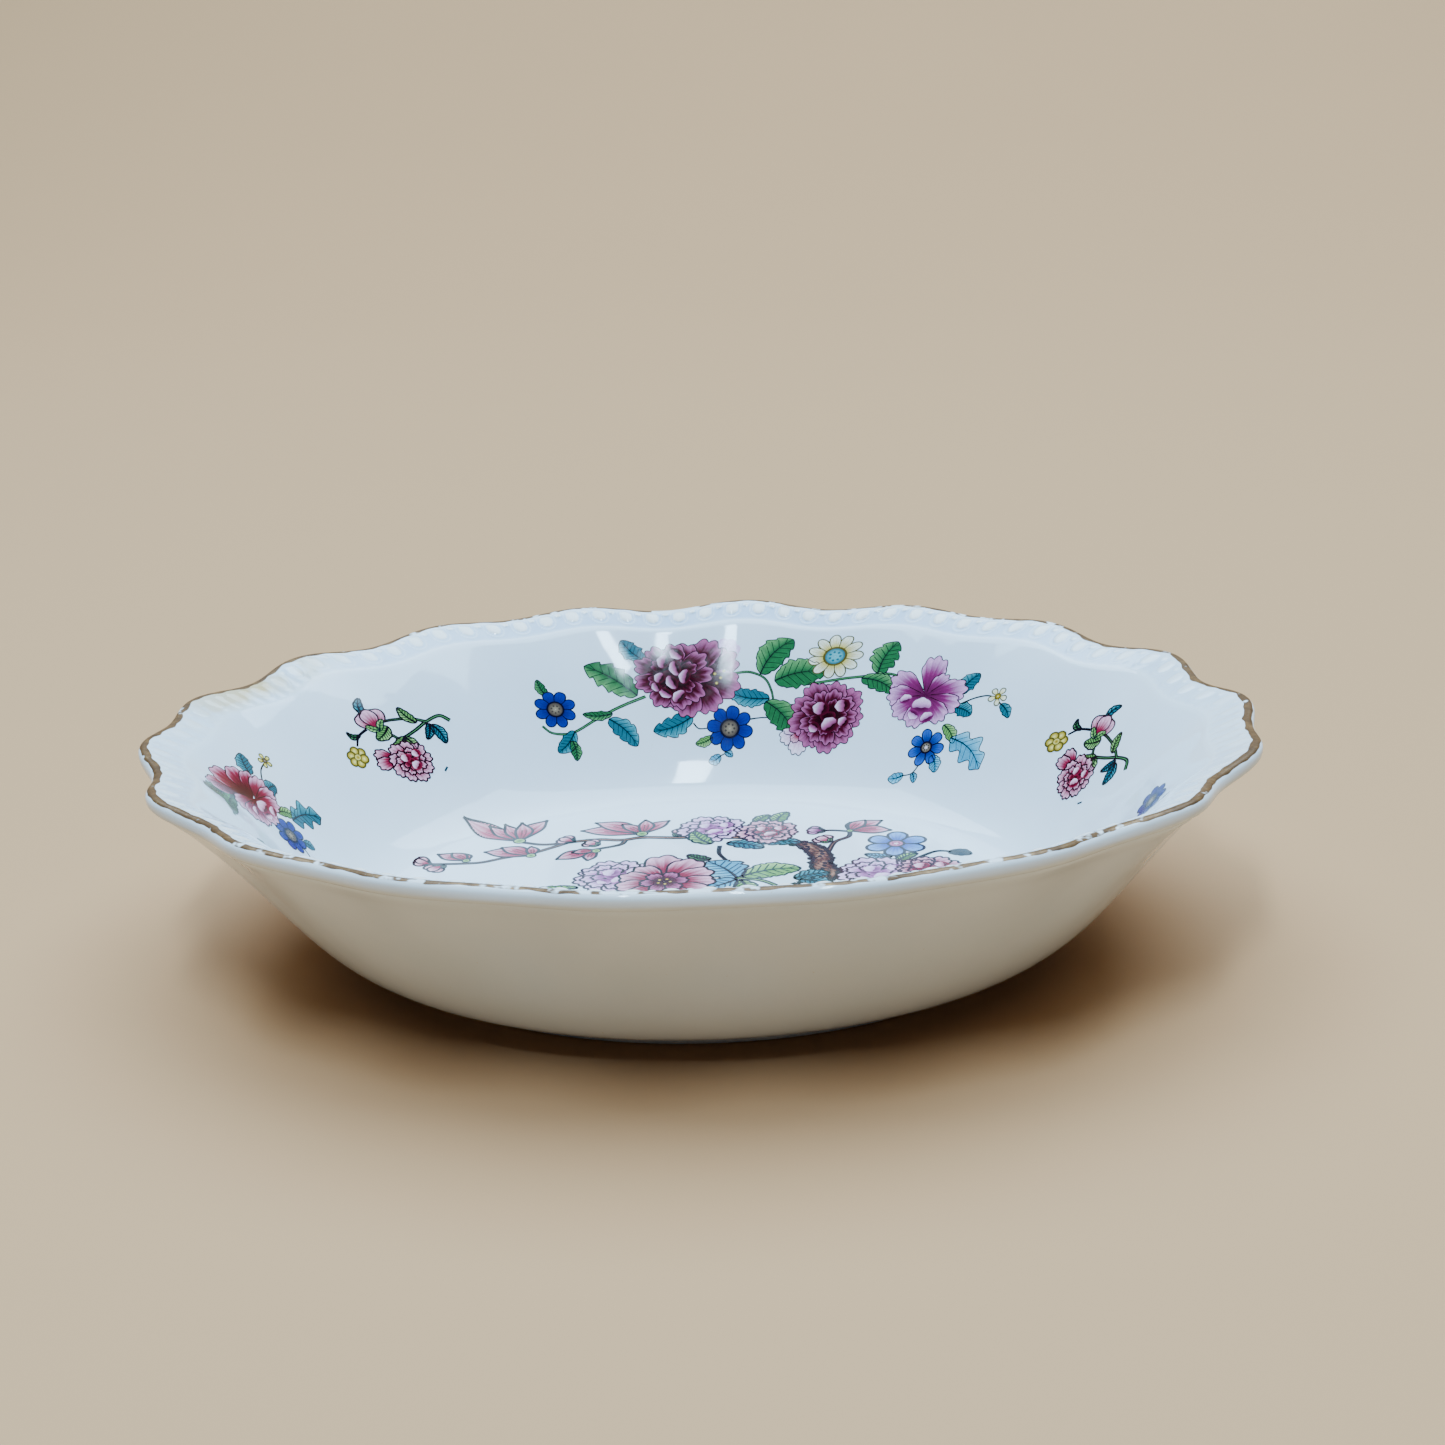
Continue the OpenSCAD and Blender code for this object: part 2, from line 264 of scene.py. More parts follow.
def glaze_material():
    """White glaze: faint clouding, specks, a soft ripple and tea stains under the gilt."""
    mat, tree, shader, co = node_material("porcelain_glaze")
    cloud = ramp(tree, noise(tree, co, 26, 4), CLOUD_TONES)
    specks = ramp(tree, noise(tree, co, 900, 1), [(0.80, (0, 0, 0)), (0.84, (0.35, 0.35, 0.35))])
    body = mix(tree, specks, cloud, (0.62, 0.52, 0.40))
    tree.links.new(tea_stain(tree, co, body), shader.inputs["Base Color"])
    rough = ramp(tree, noise(tree, co, 60, 3), [(0.3, (0.045,) * 3), (0.75, (0.10,) * 3)])
    tree.links.new(rough, shader.inputs["Roughness"])
    fired_gloss(tree, shader, co)
    return mat


def bead_shade_material():
    """Glaze with a painted highlight, white, on the bead crowns and painted shade, blue-grey, in the hollows
    between them.
    """
    mat, tree, shader, co = node_material("bead_glaze_painted_shade")
    relief = tree.nodes.new("ShaderNodeVertexColor")
    relief.layer_name = "print"
    cloud = maths(tree, "MULTIPLY", maths(tree, "SUBTRACT", noise(tree, co, 160, 3), 0.5), 0.3)
    level = maths(tree, "ADD", relief.outputs[0], cloud)
    # painted light: deep blue is painted shade in the hollows, near-white is a painted highlight on the
    # crowns
    tone = ramp(tree, level, [(0.1, (0.36, 0.54, 0.76)), (0.5, (0.765, 0.85, 0.937)),
                              (0.8, (0.985, 0.99, 0.99))])
    tree.links.new(tea_stain(tree, co, tone), shader.inputs["Base Color"])
    rough = ramp(tree, noise(tree, co, 60, 3), [(0.3, (0.05,) * 3), (0.75, (0.11,) * 3)])
    tree.links.new(rough, shader.inputs["Roughness"])
    fired_gloss(tree, shader, co)
    return mat


def foot_material():
    """Glaze on the sides of the foot, bare buff biscuit where it stands."""
    mat, tree, shader, co = node_material("foot_glaze_and_biscuit")
    x, y, z = height_of(tree, co)
    edge = maths(tree, "ADD", z, maths(tree, "MULTIPLY", noise(tree, co, 220, 2), 0.0006))
    bare = ramp(tree, maths(tree, "MULTIPLY", edge, 500), [(0.28, (1, 1, 1)), (0.36, (0, 0, 0))])
    grit = ramp(tree, noise(tree, co, 700, 3), [(0.3, (0.60, 0.53, 0.44)), (0.7, (0.78, 0.73, 0.65))])
    white = ramp(tree, noise(tree, co, 30, 3), GLAZE_TONES)
    tree.links.new(mix(tree, bare, white, grit), shader.inputs["Base Color"])
    tree.links.new(mix(tree, bare, (0.08,) * 3, (0.85,) * 3), shader.inputs["Roughness"])
    bump(tree, shader, noise(tree, co, 600, 4), 0.3, 0.0003)
    return mat


# The gilt rubs through on the long sides: this far from the middle, in metres, and this fast
RUB_FROM, RUB_PER_M = 0.04, 2.8


def gilt_material():
    """Old gilding: brown, mostly matt, with bright specks and places rubbed through to the glaze."""
    mat, tree, shader, co = node_material("rim_gilding")
    wear = noise(tree, co, 260, 4, 0.7)
    tone = ramp(tree, wear, [(0.30, (0.075, 0.036, 0.015)), (0.52, (0.16, 0.080, 0.032)),
                             (0.78, (0.34, 0.20, 0.085))])
    x, y, z = height_of(tree, co)
    sides = maths(tree, "MULTIPLY",
                  maths(tree, "MAXIMUM", maths(tree, "SUBTRACT", maths(tree, "ABSOLUTE", y), RUB_FROM), 0),
                  RUB_PER_M)
    rub = maths(tree, "ADD", noise(tree, co, 230, 2, 0.55), sides)
    rubbed = ramp(tree, rub, [(0.68, (0, 0, 0)), (0.74, (1, 1, 1))])
    tree.links.new(mix(tree, rubbed, tone, (0.79, 0.86, 0.93)), shader.inputs["Base Color"])
    tree.links.new(ramp(tree, wear, [(0.3, (0.55,) * 3), (0.7, (0.30,) * 3)]), shader.inputs["Roughness"])
    tree.links.new(ramp(tree, rubbed, [(0.0, (0.40,) * 3), (0.8, (0.0,) * 3)]), shader.inputs["Metallic"])
    bump(tree, shader, wear, 0.25, 0.0002)
    return mat


def print_material():
    """Fired enamel colours under a gloss a little softer than the glaze, with a fine dot grain."""
    mat, tree, shader, co = node_material("transfer_enamel")
    ink = tree.nodes.new("ShaderNodeVertexColor")
    ink.layer_name = "print"
    grain = ramp(tree, noise(tree, co, 2600, 2), [(0.35, (0.88,) * 3), (0.65, (1.08, 1.08, 1.08))])
    wash = ramp(tree, noise(tree, co, 320, 3), [(0.3, (0.90, 0.90, 0.92)), (0.7, (1.06, 1.05, 1.04))])
    colour = mix(tree, 1.0, mix(tree, 1.0, ink.outputs[0], grain, "MULTIPLY"), wash, "MULTIPLY")
    tree.links.new(colour, shader.inputs["Base Color"])
    rough = ramp(tree, noise(tree, co, 500, 2), [(0.3, (0.09,) * 3), (0.7, (0.19,) * 3)])
    tree.links.new(rough, shader.inputs["Roughness"])
    fired_gloss(tree, shader, co)
    return mat


GLAZE = glaze_material()
BEAD_PAINTED_SHADE_GLAZE = bead_shade_material()
FOOT = foot_material()
GILT = gilt_material()
PRINT = print_material()

# ---------------------------------------------------------------------------
# Body, foot, beads and gilt line
# ---------------------------------------------------------------------------
LIP = [(-2.4, -5.2), (-1.9, -4.15), (-0.9, -3.7), (-0.2, -2.9), (0, -1.9), (-0.15, -0.9), (-0.75, -0.2),
       (-1.5, 0), (-2.5, -0.25), (-4.4, -1.5), (-6.2, -2.6)]


def body_profile():
    outer = bezier(OUTER_WALL, np.linspace(0, 0.93, 46))
    inner = bezier(INNER_WALL, np.linspace(1, 0, 60))
    lip = [(u, RIM_H + dz) for u, dz in LIP]
    turn = smooth_line([outer[-1]] + lip + [inner[0]], 5)
    return np.vstack([outer[:-1], turn, inner[1:]])


def make_body():
    cols = 900
    profile = body_profile()
    th = np.arange(cols) * 2 * math.pi / cols
    rings = np.vstack([bowl_point(np.full(cols, u), np.full(cols, z), th) for u, z in profile])
    # inner floor and underside shrink to the middle in a few more rings
    first, last = rings[:cols], rings[-cols:]
    under = [first * np.array([k, k, 1]) for k in (0.05, 0.3, 0.6, 0.85)]
    well = [last * np.array([k, k, 1]) for k in (0.85, 0.6, 0.3, 0.05)]
    points = np.vstack(under + [rings] + well)
    rows = len(points) // cols
    faces = ring_faces(rows, cols)
    low, high = len(points), len(points) + 1
    points = np.vstack([points, [[0, 0, FOOT_H], [0, 0, FLOOR_Z]]])
    start = (rows - 1) * cols
    faces += [(low, (k + 1) % cols, k) for k in range(cols)]
    faces += [(high, start + k, start + (k + 1) % cols) for k in range(cols)]
    new_piece("bowl_porcelain", points, faces, GLAZE, ["bowl_body"])


def make_foot():
    cols = 360
    th = np.arange(cols) * 2 * math.pi / cols
    section = smooth_line([(1.8, FOOT_H), (0.5, FOOT_H - 0.5), (0, FOOT_H - 1.5), (0, 0.9), (-0.3, 0.22),
                           (-1.0, 0), (-2.25, 0), (-3.5, 0), (-4.2, 0.22), (-FOOT_T, 0.9),
                           (-FOOT_T, FOOT_H - 1.5), (-FOOT_T - 0.5, FOOT_H - 0.5),
                           (-FOOT_T - 1.8, FOOT_H)], 4)
    section[:, 1] = np.clip(section[:, 1], 0, FOOT_H + 0.02)
    rings = [np.stack([(FOOT_A + d) * np.cos(th), (FOOT_B + d) * np.sin(th), np.full(cols, z)], -1)
             for d, z in section]
    new_piece("foot_porcelain", np.vstack(rings), ring_faces(len(rings), cols, True), FOOT,
              ["foot_ring"])


def band_surface(v):
    """Offset and height on the sloping band, v mm inwards from the crest."""
    line = smooth_line([(-1.5, 0), (-2.5, -0.25), (-4.4, -1.5), (-6.2, -2.6), (-8, -3.6)], 12)
    run = np.concatenate([[0], np.cumsum(np.linalg.norm(np.diff(line, axis=0), axis=1))])
    return np.interp(v, run, line[:, 0]), RIM_H + np.interp(v, run, line[:, 1])


def bead_relief(x, v, pitch):
    """Height of the moulded border: low drops hanging from the rim with a pearl between each two."""
    egg = np.sqrt((x / 1.75) ** 2 + ((v - 2.9) / 2.1) ** 2)
    crown = 0.55 * np.clip(1 - egg ** 2, 0, 1) ** 0.6
    ring = 0.14 * np.exp(-((egg - 1.36) / 0.16) ** 2)
    side = pitch / 2 - np.abs(x)
    pearl = np.sqrt(side ** 2 + (v - 1.7) ** 2) / 0.85
    drop = 0.34 * np.sqrt(np.clip(1 - pearl ** 2, 0, 1))
    return crown + ring + drop


# The border's band: where it starts and ends, in mm inwards from the crest
BAND_START, BAND_END = 0.75, 7.4


def make_beads():
    """The border stands proud along the sides and sinks into fine pleats at the two ends; its colour carries
    a painted highlight on the beads and painted shade between them.
    """
    per_bead, rows = 18, 30
    cols = BEADS * per_bead
    th = (np.arange(cols) + 0.5) * 2 * math.pi / cols
    ring = bowl_point(np.full(cols, -5.0), np.full(cols, RIM_H), th)
    arc = np.concatenate([[0], np.cumsum(np.linalg.norm(np.diff(ring[:, :2], axis=0), axis=1))])
    pitch = (arc[-1] + arc[1]) / BEADS
    x = (arc / pitch % 1 - 0.5) * pitch
    crispness = 0.14 + 0.86 * np.abs(np.sin(th)) ** 2
    pleat = 0.06 * (1 - np.abs(np.sin(th))) * np.cos(4 * math.pi * x / pitch)
    points, tones = [], []
    for v in np.linspace(BAND_START, BAND_END, rows):
        fade = min(1, (v - BAND_START) / 1.2, (BAND_END - v) / 1.6)
        u, z = band_surface(v)
        u2, z2 = band_surface(v + 0.1)
        tilt = np.array([z - z2, u - u2]) / math.hypot(z - z2, u - u2)
        lift = -0.04 + fade * (0.10 + crispness * bead_relief(x, v, pitch) + pleat)
        points.append(bowl_point(u - tilt[0] * lift, z + abs(tilt[1]) * lift, th))
        # painted light: these tones lighten the bead crowns as a painted highlight and darken round them as
        # painted shade
        highlight_mask = np.clip((bead_relief(x, v, pitch) - 0.06) / 0.24, 0, 1)
        tones.append(0.5 + fade * crispness * (0.8 * highlight_mask - 0.36))
    tones = np.clip(np.concatenate(tones), 0, 1)[:, None] * np.ones(3)
    new_piece("bead_border_relief", np.vstack(points), ring_faces(rows, cols), BEAD_PAINTED_SHADE_GLAZE,
              ["bead_border"], colours=tones)


def make_gilt():
    """A thin brushed line on the crest, its two edges wandering a little."""
    cols = 1440
    th = np.arange(cols) * 2 * math.pi / cols
    rng = np.random.default_rng(5)
    wander = sum(a * np.sin(k * th + rng.uniform(0, 6.28))
                 for k, a in ((23, .12), (61, .09), (97, .07), (173, .05)))
    thin = 0.5 + 0.5 * np.cos(BEADS * th + 0.4)
    broad = 0.85 + 0.35 * np.abs(np.cos(th)) ** 1.5
    crest = smooth_line(LIP, 12)
    run = np.concatenate([[0], np.cumsum(np.linalg.norm(np.diff(crest, axis=0), axis=1))])
    top = run[np.argmax(crest[:, 1])]
    rows = 7
    points = []
    for r in range(rows):
        across = r / (rows - 1)
        s = top + (-0.85 * broad + wander) * (1 - across) + (0.75 * broad - 0.25 * thin + wander) * across
        u = np.interp(s, run, crest[:, 0])
        z = np.interp(s, run, crest[:, 1]) + RIM_H
        lift = 0.05 * math.sin(math.pi * across) + 0.015
        points.append(bowl_point(u, z + lift, th))
    new_piece("gilt_line", np.vstack(points), ring_faces(rows, cols), GILT, ["gilt_rim_line"])


make_body()
make_foot()
make_beads()
make_gilt()

# ---------------------------------------------------------------------------
# Transfers. Each print is drawn flat in millimetres as complex numbers, x to
# the right and y up, and laid on the glaze as a film that follows its surface.
# ---------------------------------------------------------------------------
DEPTH = 1.28


def srgb(r, g, b):
    """Linear colour of an enamel, fired a little deeper than its swatch."""
    c = np.array([r, g, b]) / 255
    return np.where(c <= 0.04045, c / 12.92, ((c + 0.055) / 1.055) ** 2.4) ** DEPTH


INK = srgb(30, 26, 42)
PLUM_INK = srgb(62, 14, 40)
NAVY_INK = srgb(8, 16, 58)
LEAF_INK = srgb(20, 48, 54)
OLIVE_INK = srgb(110, 100, 50)
MAROON = (srgb(50, 2, 24), srgb(104, 14, 54), srgb(200, 122, 164))
ROSE = (srgb(92, 6, 34), srgb(164, 40, 82), srgb(238, 186, 206))
MAUVE = (srgb(96, 18, 74), srgb(156, 58, 124), srgb(230, 178, 216))
LILAC = (srgb(134, 56, 118), srgb(196, 122, 182), srgb(236, 204, 236))
PALE = (srgb(190, 92, 138), srgb(232, 184, 210), srgb(246, 230, 242))
BLUSH = (srgb(140, 22, 62), srgb(196, 78, 114), srgb(246, 206, 220))
BLUE = (srgb(2, 10, 66), srgb(6, 36, 124), srgb(16, 62, 158))
SKY = (srgb(20, 60, 140), srgb(58, 112, 190), srgb(128, 178, 226))
GREEN = (srgb(22, 78, 52), srgb(64, 132, 86), srgb(138, 190, 132))
TEAL = (srgb(6, 74, 92), srgb(36, 128, 142), srgb(112, 192, 200))
FRESH = (srgb(64, 112, 58), srgb(132, 178, 108), srgb(200, 224, 168))
POWDER = (srgb(40, 118, 150), srgb(100, 180, 206), srgb(174, 222, 234))
YELLOW = (srgb(138, 108, 30), srgb(214, 190, 84), srgb(244, 232, 160))
CREAM = (srgb(196, 170, 96), srgb(236, 224, 168), srgb(244, 242, 226))
TAN = (srgb(90, 78, 74), srgb(142, 126, 110), srgb(176, 160, 138))
DEEP_TEAL = (srgb(12, 54, 76), srgb(26, 84, 106), srgb(56, 124, 140))
BARK = (srgb(40, 20, 20), srgb(122, 78, 66), srgb(194, 150, 130))

FILM_LIFT, PATCH_LIFT, LINE_LIFT = 0.03, 0.004, 0.0015
HAIR, FINE, BOLD = 0.15, 0.24, 0.36


class Wall:
    """Places a print on the wall, its origin at angle th (degrees) and t up the wall."""

    def __init__(self, th, t):
        self.th = np.radians(np.linspace(th + 100, th - 100, 1601))
        ring = inner_point(self.th, np.full(self.th.shape, 0.6))
        arc = np.concatenate([[0], np.cumsum(np.linalg.norm(np.diff(ring, axis=0), axis=1))])
        self.arc = arc - arc[800]
        self.t = np.linspace(0, 1, 400)
        rise = inner_point(np.full(400, math.radians(th)), self.t)
        up = np.concatenate([[0], np.cumsum(np.linalg.norm(np.diff(rise, axis=0), axis=1))])
        self.up = up - np.interp(t, self.t, up)

    def __call__(self, z):
        th = np.interp(z.real, self.arc, self.th)
        t = np.interp(z.imag, self.up, self.t)
        return inner_point(th, t), inner_normal(th, t)


class Well:
    """Places a print on the flat floor, running a little way up the wall where it is wide."""

    def __call__(self, z):
        t = np.linspace(0, 0.8, 200)
        u = bezier(INNER_WALL, t)[:, 0]
        rx, ry = HALF_L + end_u(u), HALF_W + u
        reach = np.hypot(z.real[:, None] / rx, z.imag[:, None] / ry)
        up = np.array([np.interp(-1, -row, t) for row in reach])
        flat = reach[:, 0] <= 1
        th = np.arctan2(z.imag / np.interp(up, t, ry), z.real / np.interp(up, t, rx))
        normal = inner_normal(th, np.maximum(up, 0.01))
        normal[flat] = (0, 0, 1)
        height = np.interp(up, t, bezier(INNER_WALL, t)[:, 1])
        return np.stack([z.real, z.imag, height], -1), normal


class Print:
    """Coloured patches in painter's order. A patch is one petal or leaf with its own lines.

    pen widens every line.
    """

    def __init__(self, seed, pen=1.0):
        self.patches = []
        self.pen = pen
        self.rng = np.random.default_rng(seed)

    def start(self, layer):
        self.patches.append((layer, []))

    def grid(self, z, tone, level=0, closed=False):
        rows, cols = z.shape
        k = np.arange(cols if closed else cols - 1)
        near = np.arange(rows - 1)[:, None] * cols + k
        far = np.arange(rows - 1)[:, None] * cols + (k + 1) % cols
        faces = np.stack([near, far, far + cols, near + cols], -1).reshape(-1, 4)
        tone = np.clip(np.broadcast_to(tone, z.shape + (3,)), 0, 1).reshape(-1, 3)
        self.patches[-1][1].append((z.ravel(), tone, faces, level))

    def line(self, z, width, ink, level=1):
        """A stroke along z; width is one number or one for each point."""
        d = np.gradient(z)
        side = 1j * d / np.maximum(abs(d), 1e-9) * np.asarray(width) * self.pen / 2
        self.grid(np.stack([z - side, z + side]), ink, level)

    def lay(self, name, place, node):
        """Stack the patches, each just above those that it overlaps, and set them on the glaze."""
        stack = [parts for _, parts in sorted(self.patches, key=lambda patch: patch[0])]
        ends = []
        for parts in stack:
            z = np.concatenate([part[0] for part in parts])
            ends.append((z.real.min(), z.imag.min(), z.real.max(), z.imag.max()))
        x0, y0, x1, y1 = np.array(ends).T
        step = np.zeros(len(stack))
        for k in range(1, len(stack)):
            under = (x0[:k] < x1[k]) & (x1[:k] > x0[k]) & (y0[:k] < y1[k]) & (y1[:k] > y0[k])
            step[k] = step[:k][under].max() + 1 if under.any() else 0
        zs, tones, faces, lifts, count = [], [], [], [], 0
        for k, parts in enumerate(stack):
            for z, tone, quads, level in parts:
                zs.append(z)
                tones.append(tone)
                faces.append(quads + count)
                lifts.append(np.full(len(z), FILM_LIFT + PATCH_LIFT * step[k] + LINE_LIFT * level))
                count += len(z)
        z, quads = np.concatenate(zs), np.concatenate(faces)
        corner = z[quads]
        area = ((corner[:, 2] - corner[:, 0]).conjugate() * (corner[:, 3] - corner[:, 1])).imag
        quads[area < 0] = quads[area < 0, ::-1]
        point, normal = place(z)
        new_piece(name, point + normal * np.concatenate(lifts)[:, None], quads.tolist(), PRINT,
                  [node], normals=normal, colours=np.concatenate(tones))


def blend(tones, s):
    """Colour at s along three tones, from 0, the first, to 1, the last."""
    s = np.clip(s, 0, 1)[..., None]
    low, mid, high = tones
    return np.where(s < 0.5, low + (mid - low) * s * 2, mid + (high - mid) * (s - 0.5) * 2)


def curve(*points, per_span=8):
    """Smooth complex line through (x, y) points."""
    p = smooth_line(points, per_span)
    return p[:, 0] + 1j * p[:, 1]


def heading(degrees):
    return np.exp(1j * math.radians(degrees))


def petal(art, base, turn, length, spread, tones, layer, ink=PLUM_INK, frill=0.07, frills=4, fade=1.4,
          shade=0.0, edge=FINE, open_end=False):
    """A fan petal: deep at its base, pale and frilled at its rim, with fine veins.

    fade sets how far out the deep colour reaches; open_end leaves the rim unlined.
    """
    rows, cols = 11, 27
    a = np.linspace(-1, 1, cols)
    s = np.linspace(0.02, 1, rows)[:, None]
    phase = art.rng.uniform(0, 3)
    rim = ((1 - 0.26 * a ** 2 - 0.12 * a ** 6)
           * (1 + frill * np.abs(np.sin(frills * math.pi * (a + 1) / 2 + phase))))
    reach = s * rim * length
    z = base + heading(turn) * (reach * np.cos(a * spread) + 1j * reach * np.sin(a * spread))
    vein = 0.11 * np.sin(a * 15 + phase) * s + 0.07 * np.sin(a * 33 + 2 * phase) * s
    tone = blend(tones, 0.12 + s ** fade + vein - 0.30 * np.abs(a) ** 3 * (1 - s ** 2) - shade)
    art.start(layer)
    art.grid(z, tone)
    if not open_end:
        art.line(z[-1], edge, ink)
    for side in (0, -1):
        art.line(z[rows // 3:, side], edge * 0.8, ink)


def disc(art, centre, radius, tones, layer, squash=1.0, turn=0, ink=None, edge=FINE, wobble=0.0):
    a = np.linspace(0, 2 * math.pi, 28, endpoint=False)
    s = np.array([0.02, 0.35, 0.7, 1.0])[:, None]
    r = radius * (1 + wobble * (np.cos(2 * a + turn) + np.sin(3 * a)))
    z = centre + heading(turn) * s * r * (np.cos(a) + 1j * squash * np.sin(a))
    art.start(layer)
    art.grid(z, blend(tones, s + 0 * a), closed=True)
    if ink is not None:
        art.line(np.append(z[-1], z[-1, :2]), edge, ink)


def leaf(art, base, tip, width, tones, layer, teeth=6, bite=0.16, bend=0.08, ink=LEAF_INK, lobes=0,
         edge=FINE):
    """A leaf with a toothed or lobed edge, one half lighter, and its veins drawn in."""
    base, tip = complex(*base), complex(*tip)
    rows, cols = 31, 9
    s = np.linspace(0, 1, rows)[:, None]
    w = np.linspace(-1, 1, cols)
    half = width / 2 * np.sin(math.pi * s ** 0.86) ** 0.62
    if lobes:
        half = half * (0.95 + 0.34 * np.cos(2 * math.pi * lobes * s + math.pi))
    else:
        half = half * (1 + bite * (0.5 - (s * teeth) % 1) + 0.05 * np.sin(23 * s))
    way = tip - base
    along = way * s + 0.10 * way * np.abs(w) * half / abs(way)
    z = base + along + way / abs(way) * 1j * (w * half + bend * abs(way) * np.sin(math.pi * s))
    shade = 0.44 + 0.20 * w + 0.20 * np.abs(w) + 0.12 * np.sin(40 * s) * w ** 2 - 0.20 * (np.abs(w) < 0.2)
    art.start(layer)
    art.grid(z, blend(tones, shade))
    spine = z[:, cols // 2]
    art.line(spine, np.linspace(edge * 1.5, edge * 0.5, rows), ink, 3)
    for side in (0, -1):
        art.line(z[:, side], edge, ink, 3)
        for k in range(4, rows - 6, 4 if abs(way) > 5 else 7):
            end = spine[k + 3] + 0.8 * (z[k + 4, side] - spine[k + 3])
            art.line(np.linspace(spine[k], end, 4), edge * 0.7, (tones[0] + ink) / 2, 2)


def stem(art, line, width, layer, tones=GREEN, ink=LEAF_INK):
    """A stem, drawn as one stroke where it is thin and edged where it is thick."""
    art.start(layer)
    w = np.linspace(width, width * 0.7, len(line))
    if width < 0.5:
        art.line(line, w, ink, 0)
        return
    d = np.gradient(line)
    side = 1j * d / abs(d) * w / 2
    z = np.stack([line - side, line - side * 0.3, line + side * 0.3, line + side])
    art.grid(z, blend(tones, np.array([0.1, 0.6, 0.7, 0.3])[:, None] + 0 * w))
    art.line(line - side, FINE, ink)
    art.line(line + side, FINE, ink)


def round_flower(art, centre, radius, tones, layer, petals=8, ink=NAVY_INK, heart=TAN, heart_size=0.36,
                 turn=0, spread=0.42):
    """A round open flower: broad petals round a stippled centre."""
    c = complex(*centre)
    for k in range(petals):
        petal(art, c, turn + 360 * k / petals, radius, spread, tones, layer + (k % 2), ink=ink, frill=0.04,
              frills=1, fade=1.1, edge=FINE * 1.2)
    disc(art, c, radius * (heart_size + 0.09), (ink, ink, ink), layer + 3)
    disc(art, c, radius * heart_size, heart[::-1], layer + 4)
    for k in range(7):
        dot = c + radius * heart_size * 0.55 * heading(k * 360 / 7)
        disc(art, dot, radius * 0.05, (heart[0],) * 3, layer + 5)


def cup(art, centre, length, width, turn, tones, layer):
    """A curled petal rim: a soft crescent, pale along its outer edge, over a dark hollow."""
    way = heading(turn)
    disc(art, centre - way * 1j * width * 0.2, length * 0.56, (tones[0], tones[0], tones[1]), layer,
         squash=width / length * 1.5, turn=turn)
    s = np.linspace(-1, 1, 17)
    w = np.linspace(-0.5, 0.5, 6)[:, None]
    swell = (1 - s ** 2) ** 0.42 * (1 + 0.10 * np.cos(7 * s))
    bow = 0.16 * length * (1 - s ** 2)
    z = centre + way * (0.5 * length * s + 1j * (bow - 0.1 * length + w * width * swell))
    art.start(layer + 1)
    art.grid(z, blend((tones[1], tones[2], PALE[2] * 0.75 + tones[2] * 0.25),
                      0.12 + 0.95 * (w + 0.5) * (1 - 0.45 * s ** 2)))


def peony(art, centre, radius, tones, layer, petals, cups, ball=None, fade=2.2):
    """A full peony.

    petals: (angle, length as a part of radius, spread) of each open petal, back ones first.
    ball: (x, y, size) of the closed heart, in parts of radius.
    cups: (x, y, length, width, angle) of each curled petal edge, in parts of radius.
    """
    c = complex(*centre)
    rng = art.rng
    for k, (way, reach, spread) in enumerate(petals):
        foot = c - 0.05 * radius * heading(way)
        petal(art, foot, way, radius * reach, spread, tones, layer + k, frill=0.10, frills=4, fade=fade)
    layer += len(petals)
    if ball:
        heart = c + radius * complex(*ball[:2])
        size = radius * ball[2]
        for k in range(9):
            way = 40 * k + rng.uniform(-6, 6)
            petal(art, heart, way, size, 0.44, tones, layer + k % 3, frill=0.12, frills=3, fade=fade * 1.2)
        for k in range(6):
            way = 60 * k + 20 + rng.uniform(-8, 8)
            petal(art, heart, way, size * 0.66, 0.50, tones, layer + 3 + k % 2, frill=0.12, frills=3,
                  fade=fade * 1.2, shade=0.22)
        disc(art, heart, size * 0.26, (tones[0], tones[0], tones[1]), layer + 5, wobble=0.1)
    for k, (x, y, length, width, turn) in enumerate(cups):
        cup(art, c + radius * complex(x, y), radius * length, radius * width, turn, tones, layer + 6 + 2 * k)


BALL_CUPS = [(-0.40, 0.42, 0.34, 0.15, 70), (-0.10, 0.56, 0.30, 0.15, 130), (-0.16, 0.22, 0.36, 0.14, 100),
             (-0.52, 0.02, 0.26, 0.13, 60), (-0.26, -0.12, 0.34, 0.14, 110), (0.04, 0.02, 0.34, 0.14, 75),
             (-0.42, -0.38, 0.30, 0.13, 140), (-0.12, -0.44, 0.34, 0.15, 50), (-0.62, -0.22, 0.22, 0.12, 110)]
CROWN_CUPS = [(-0.22, 0.22, 0.36, 0.27, 80), (0.34, 0.30, 0.34, 0.24, 100), (0.10, -0.20, 0.44, 0.26, 40),
              (-0.30, -0.36, 0.26, 0.18, 150), (0.46, -0.12, 0.26, 0.18, 60)]
GLOBE_PETALS = [(24, 1.0, 0.52), (-18, 1.02, 0.5), (-58, 0.92, 0.5), (62, 0.95, 0.5), (100, 0.86, 0.5),
                (140, 0.84, 0.5), (180, 0.84, 0.5), (222, 0.86, 0.5), (262, 0.9, 0.5)]
ROUND_PETALS = [(40 * k, 0.96 + 0.05 * (k % 2), 0.50) for k in range(9)]
WINGED_PETALS = [(92, 1.05, 0.42), (60, 0.72, 0.4), (160, 1.0, 0.46), (20, 0.98, 0.48), (190, 0.95, 0.44),
                 (-12, 0.92, 0.44), (-42, 0.86, 0.46), (222, 0.9, 0.46), (262, 0.86, 0.5)]
WING_CUPS = [(-0.02, -0.22, 0.50, 0.26, 8), (-0.48, -0.14, 0.30, 0.14, 30), (0.20, -0.52, 0.34, 0.16, 40),
             (-0.16, -0.56, 0.30, 0.15, 160)]


